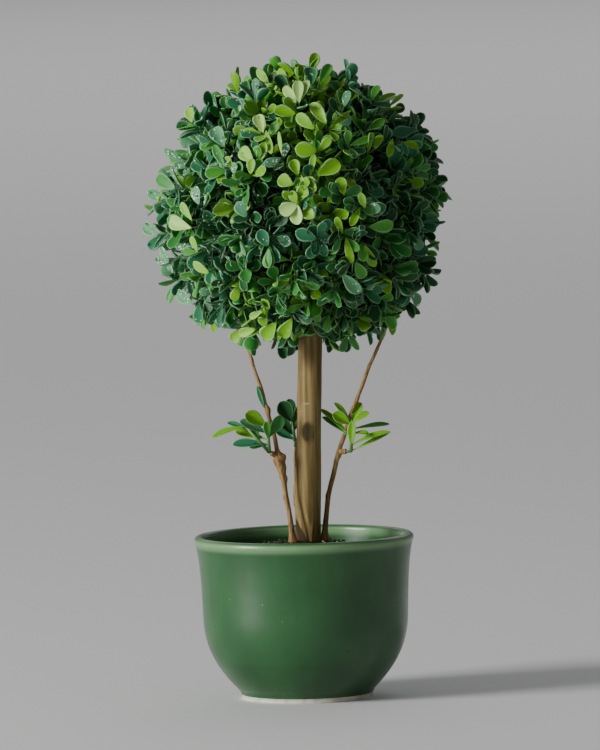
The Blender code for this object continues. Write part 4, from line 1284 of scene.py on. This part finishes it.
# %% Scatter drops and grains
DROP_LEVELS, GRAIN_LEVELS = ((0.90, -0.25), (1.0, 0.12), (0.74, 0.52)), ((1.0, -0.20), (0.80, 0.40))
water = mottled("dew_water", (0.90, 0.97, 0.93), (0.95, 0.98, 0.96), 200, 0.02,
                {"IOR": 1.33, "Transmission Weight": 1.0})
white_grain = mottled("frost_grain", (0.70, 0.86, 0.73), (0.86, 0.93, 0.87), 300, 0.20,
                      {"Coat Weight": 0.5, "Coat Roughness": 0.1})
# Both fall most on the front and on the left of the ball.
front = np.clip(0.55 - ball_leaves["root"][:, 1] / 0.06, 0.15, 1)
leftness = np.clip(0.42 - ball_leaves["root"][:, 0] / 0.075, 0.05, 1)
is_frosted, is_bluish = (leaf_tint == TINT_NAMES.index(tint) for tint in ("frosted", "blue_green"))
dew_chances = np.where(is_frosted, 1.8, 0.55) * leftness * front
frost_chances = np.where(is_bluish, 2.6, 0.8) * leftness * front
frost_chances = np.where(is_frosted, 3 + 16 * leftness * front, frost_chances)
put_domes("ball_dew", ball_leaves, dew_chances, (0.00028, 0.00115), 51, DROP_LEVELS, 8, water)
put_domes("ball_frost", ball_leaves, frost_chances, (0.00018, 0.00062), 52, GRAIN_LEVELS, 4, white_grain)

# %% [markdown]
# ## The sprays on the twigs
# Each twig carries one small sprig. It grows by the rule of its solid: a stalk leaves the twig, a
# shoot leaves the stalk, and leaves leave the shoot one after another at their headings. These leaves
# are seen alone against the background, so their grid is finer, and each has its own length, width
# and bend, read from the real one. The rule goes on once more on the left, where a second short shoot
# climbs beside the twig.

# %% The sprays' rule
# A spray has its stalk's root, heading and length, and its shoots: heading and length. A leaf has its
# shoot, its place along it, heading, length and width in millimetres, how far its face is turned up,
# its bend, how far it leans to the back, and its tint.
STALK_DEPTH, STALK_SUNK, STALK_OVERLAP, STALK_RADII = -0.60, 0.0006, 0.0004, (0.00085, 0.00055)
SPRAY_GAP, SPRAY_DEW, SPRAY_DEW_SIZES, SPRAY_SEED = 0.0006, 0.8, (0.0002, 0.0006), 70
SPRAYS = {
    "left_spray": ((-0.01229, -0.00734, 0.10961), 150, 0.0030, ((131, 0.0160), (93, 0.0116)), (
        (0, 0.98, 190, 16.0, 4.2, 58, -0.16, -0.10, "yellow_green"),
        (0, 0.90, 165, 10.5, 3.0, 40, 0.0, 0.50, "blue_green"),
        (1, 1.00, 147, 12.0, 6.6, 12, 0.05, -0.20, "yellow_green"),
        (1, 0.72, 151, 14.6, 5.0, 30, -0.08, -0.35, "frosted"),
        (1, 0.30, 172, 16.0, 4.8, 38, -0.20, -0.15, "blue_green"),
        (1, 0.48, 163, 16.4, 4.2, 25, -0.05, 0.30, "yellow_green"),
        (1, 0.55, 57, 11.6, 6.2, -20, -0.10, -0.10, "mid_green"),
        (1, 0.45, 96, 10.0, 3.6, 10, 0.0, -0.45, "fresh_green"),
        (0, 0.35, 118, 11.0, 4.4, 15, 0.0, 0.10, "mid_green"),
        (1, 0.30, 186, 9.5, 3.8, 30, 0.0, 0.45, "mid_green"),
    )),
    "right_spray": ((0.01799, 0.00029, 0.10985), 2, 0.0046, ((88, 0.0125),), (
        (0, 0.20, 29, 18.4, 3.8, 60, -0.22, -0.20, "yellow_green"),
        (0, 0.02, 19, 18.8, 3.2, 58, 0.10, 0.05, "lime"),
        (0, 0.95, 146, 10.0, 5.6, 14, 0.0, -0.15, "yellow_green"),
        (0, 1.00, 127, 12.2, 3.6, 50, -0.05, 0.20, "lime"),
        (0, 0.97, 42, 9.2, 4.2, 40, -0.25, -0.20, "yellow_green"),
        (0, 1.00, 66, 10.8, 4.6, 12, 0.0, 0.40, "yellow_green"),
        (0, 0.80, 6, 20.0, 3.4, 50, -0.05, 0.55, "fresh_green"),
        (0, 0.55, 137, 20.0, 3.6, 45, -0.05, 0.45, "yellow_green"),
        (0, 0.50, 143, 18.0, 3.4, 40, -0.05, 0.55, "fresh_green"),
        (0, 0.60, 20, 8.0, 3.4, 60, -0.35, -0.50, "yellow_green"),
        (0, 0.04, 87, 13.0, 4.0, 10, -0.06, -0.16, "yellow_green"),
    )),
    "back_spray": ((-0.00284, 0.00824, 0.11260), 94, 0.0020, ((98, 0.0090),), (
        (0, 0.95, 118, 11.0, 7.6, 8, 0.05, -0.10, "deep_green"),
        (0, 0.25, 128, 11.4, 5.0, 20, 0.0, -0.10, "deep_green"),
        (0, 0.05, 150, 10.0, 5.0, 30, 0.0, 0.10, "blue_green"),
        (0, 0.75, 60, 11.0, 5.4, 15, 0.0, 0.30, "mid_green"),
        (0, 0.55, 40, 12.0, 4.6, 25, 0.0, 0.20, "deep_green"),
        (0, 0.85, 96, 12.0, 5.0, 10, 0.0, 0.35, "deep_green"),
        (0, 0.40, 78, 10.0, 4.8, 20, 0.0, 0.60, "mid_green"),
    )),
}


# %% A spray's leaves
def heading_vector(heading, depth):
    """Unit vectors at angles as seen from the front, leaning away from it by `depth`."""
    angle = np.radians(np.asarray(heading, float))
    return unit(np.stack([np.cos(angle), depth + 0 * angle, np.sin(angle)], axis=-1))


def spray_leaves(node, tips, rows):
    """The arrays of a spray's leaves. A leaf's root lies between the node and its shoot's tip. Its face
    is the front's direction turned about the leaf by its angle, towards the side that looks up."""
    shoot, share, heading, length, width, turn, bend, lean = np.array([row[:8] for row in rows], float).T
    root = node + (tips[shoot.astype(int)] - node) * share[:, None]
    along = heading_vector(heading, lean)
    rising = np.where(np.cos(np.radians(heading)) < 0, heading - 90, heading + 90)
    turned_up = np.radians(turn)[:, None]
    upward = heading_vector(rising, 0.0)
    facing = np.array([0.0, -1.0, 0.0]) * np.cos(turned_up) + upward * np.sin(turned_up)
    return {"root": root, "along": along, "facing": facing, "length": length / 1000, "width": width / 1000,
            "swell": np.linspace(1.7, 2.1, len(rows)), "cup": np.linspace(0.5, 0.3, len(rows)),
            "bend": bend}


# %% Bark sleeves
SLEEVE_LENGTH, SLEEVE_SUNK, SLEEVE_RADII = 0.0024, 0.0011, (0.00135, 0.00115)


def sleeve_rings(root, heading):
    """A short stub of bark round a stalk, from inside the twig: its radius swells where it leaves the
    twig and draws in at its cut end."""
    t = np.linspace(0, 1, 12)
    path = root - heading * SLEEVE_SUNK + heading * ((SLEEVE_LENGTH + SLEEVE_SUNK) * t)[:, None]
    radius = between(*SLEEVE_RADII, t) - 0.00030 * np.exp(-((1 - t) / 0.06) ** 2)
    angle = full_turn(18)[None, :]
    return limb_rings(path, radius[:, None] * (1 + 0.06 * np.sin(3 * angle + 4 * t[:, None])), angle)


# %% Make the sprays
for name, (root, stalk_heading, stalk_length, shoot_runs, rows) in SPRAYS.items():
    root, stalk = np.array(root), heading_vector(stalk_heading, STALK_DEPTH)
    node = root + stalk * stalk_length
    tips = np.array([node + heading_vector(heading, 0.0) * length for heading, length in shoot_runs])
    leaves = spray_leaves(node, tips, rows)
    kept = gap_to_limbs(spot_on(leaves, WIDEST_PLACE)) > SPRAY_GAP
    tint_of_leaf = np.array([row[8] for row in rows])
    print(name, "keeps", int(kept.sum()), "of", len(rows), "leaves")
    for tint in sorted(set(tint_of_leaf[kept])):
        chosen = pick(leaves, kept & (tint_of_leaf == tint))
        piece = put_leaves(name + "_" + tint, fine_leaf, chosen, *finishes[tint])
        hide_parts(name)
    starts = np.array([root - stalk * STALK_SUNK, *[node] * len(tips)])
    ends = np.array([node + stalk * STALK_OVERLAP, *tips])
    rods = put_rods(name + "_shoot", starts, ends, *STALK_RADII, 12, shoot_finish)
    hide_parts(name)
    put_domes(name + "_dew", pick(leaves, kept), np.full(kept.sum(), SPRAY_DEW), SPRAY_DEW_SIZES,
              SPRAY_SEED + len(name), DROP_LEVELS, 8, water)
    if name != "back_spray":
        sleeve = put_mesh(name + "_sleeve", *close_rings(sleeve_rings(root, stalk)), [bark])

# %% [markdown]
# ## The two narrow leaves on the left twig
# Halfway up, two narrow bluish leaves lie along the left twig and hug it. They start on its bark and
# run up with it, so their roots are taken from the twig's own path.

# %% Leaves that hug the twig
HUG_HEIGHT, HUG_RUN = 0.1302, 20
left_path = stem_paths["left_stem"]
hug_place = int(np.argmin(np.abs(left_path[:, 2] - HUG_HEIGHT)))
hug_run = unit(left_path[hug_place + HUG_RUN] - left_path[hug_place])
beside = np.array([[-0.0009, -0.0005, 0.0], [-0.0008, 0.0005, 0.0]])
hugging = {
    "root": left_path[[hug_place, hug_place + 3]] + beside,
    "along": unit(hug_run + np.array([[-0.04, -0.06, 0.0], [-0.02, 0.05, 0.0]])),
    "facing": np.array([[-0.55, -0.85, 0.2], [-0.9, -0.2, 0.1]]),
    "length": np.array([0.0108, 0.0092]), "width": np.array([0.0024, 0.0022]),
    "swell": np.array([1.3, 1.4]), "cup": np.array([0.6, 0.5]), "bend": np.array([-0.04, 0.04]),
}
hug_piece = put_leaves("left_stem_leaves", fine_leaf, hugging, *finishes["blue_green"])

# %% [markdown]
# ## Crumbs on the moss
# Bits of dried moss and a few pale flakes lie on the filling, seen best from above. Each is a small
# curled leaf, laid nearly flat on the moss at its own height, so the same grid serves once more.

# %% Crumbs
CRUMBS, PALE_CRUMBS, CRUMB_CIRCLE, CRUMB_LIMIT, CRUMB_LIFT = 360, 32, 0.0405, 0.0418, 0.0001
draws = np.random.default_rng(88)
radius, turn = CRUMB_CIRCLE * np.sqrt(draws.uniform(0, 1, CRUMBS)), draws.uniform(0, 2 * math.pi, CRUMBS)
x, y = radius * np.cos(turn), radius * np.sin(turn)
heading = draws.uniform(0, 2 * math.pi, CRUMBS)
crumbs = {
    "root": np.stack([x, y, moss_height(x, y) + CRUMB_LIFT], axis=-1),
    "along": unit(polar(1.0, heading, draws.uniform(0.0, 0.5, CRUMBS))),
    "facing": unit(draws.normal(0, 0.3, (CRUMBS, 3)) + UP),
    "length": draws.uniform(0.0016, 0.0038, CRUMBS), "width": draws.uniform(0.0007, 0.0018, CRUMBS),
    "swell": draws.uniform(1.0, 2.0, CRUMBS), "cup": draws.normal(0.3, 0.3, CRUMBS),
    "bend": draws.normal(-0.1, 0.2, CRUMBS),
}
crumb_end = spot_on(crumbs, 1.0)
inside = (np.hypot(crumb_end[:, 0], crumb_end[:, 1]) < CRUMB_LIMIT) & (gap_to_limbs(crumb_end) > CLEARANCE)
pale = np.arange(CRUMBS) < PALE_CRUMBS
dark_bits = mottled("moss_crumb", (0.030, 0.046, 0.012), (0.070, 0.076, 0.026), 420, 0.82)
pale_bits = mottled("pale_crumb", (0.230, 0.250, 0.140), (0.380, 0.420, 0.270), 420, 0.78)
for name, kind, finish in (("moss_crumbs", ~pale, dark_bits), ("pale_crumbs", pale, pale_bits)):
    piece = put_leaves(name, small_leaf, pick(crumbs, inside & kind), finish, finish)

# %% [markdown]
# ## The studio
# The tree stands on a plain pale floor that runs past the top of the picture. One large soft lamp
# stands low on its left, a little to the front, as the shadow on the real table shows. A weak one
# fills in from the right, the sky is even, and a lamp over the far floor keeps the background as
# pale as the foreground. The lamps themselves are hidden from the camera, so that the tree can be
# looked at from all sides. The camera is far away behind a long lens, looks down by four degrees
# and is rolled by a little more than one, as the photographer held it.

# %% Floor and lamps
HALF_FLOOR = 40
floor_corners = [(x * HALF_FLOOR, y * HALF_FLOOR, 0) for x, y in ((-1, -1), (1, -1), (1, 1), (-1, 1))]
floor_mesh = bpy.data.meshes.new("studio_floor")
floor_mesh.from_pydata(floor_corners, [], [(0, 1, 2, 3)])
studio_floor = bpy.data.objects.new("studio_floor", floor_mesh)
bpy.context.scene.collection.objects.link(studio_floor)
studio_floor.data.materials.append(set_finish(new_finish("floor_paint"), {
    "Base Color": (0.80, 0.80, 0.78), "Roughness": 0.8}))


def soft_lamp(name, place, aim, size, power):
    """An area lamp of a width and a height that looks at a point."""
    lamp = bpy.data.lights.new(name, "AREA")
    lamp.shape, lamp.energy = "RECTANGLE", power
    lamp.size, lamp.size_y = size
    item = bpy.data.objects.new(name, lamp)
    bpy.context.scene.collection.objects.link(item)
    item.location = place
    item.rotation_mode = "QUATERNION"
    item.rotation_quaternion = (Vector(aim) - Vector(place)).to_track_quat("-Z", "Y")
    item.visible_camera = False


soft_lamp("key_lamp", (-3.10, -1.55, 0.98), (0, 0, 0.15), (1.25, 1.85), 192)
soft_lamp("fill_lamp", (1.3, -1.1, 0.7), (0, 0, 0.15), (1.1, 1.1), 0.5)
soft_lamp("floor_lamp", (0, 7.5, 4.0), (0, 7.5, 0), (9, 8), 170)
sky = bpy.data.worlds.new("studio_sky")
sky.use_nodes = True
sky.node_tree.nodes["Background"].inputs["Color"].default_value = (0.95, 0.97, 1.0, 1.0)
sky.node_tree.nodes["Background"].inputs["Strength"].default_value = 0.19
bpy.context.scene.world = sky

# %% Camera
LOOK_AT, DISTANCE, LOOK_DOWN, ROLL, FRAME_HEIGHT = Vector((-0.0001, 0.0, 0.1445)), 4.0, 4.15, 1.3, 0.3349
SENSOR_WIDTH = 36
camera_data = bpy.data.cameras.new("camera")
camera_data.sensor_width = SENSOR_WIDTH
camera_data.lens = SENSOR_WIDTH * DISTANCE / FRAME_HEIGHT
camera_data.clip_end = 200
camera = bpy.data.objects.new("camera", camera_data)
bpy.context.scene.collection.objects.link(camera)
down = math.radians(LOOK_DOWN)
back = Vector((0, -math.cos(down), math.sin(down)))
camera.location = LOOK_AT + back * DISTANCE
camera.rotation_mode = "QUATERNION"
camera.rotation_quaternion = (-back).to_track_quat("-Z", "Y") @ Quaternion((0, 0, 1), -math.radians(ROLL))
bpy.context.scene.camera = camera
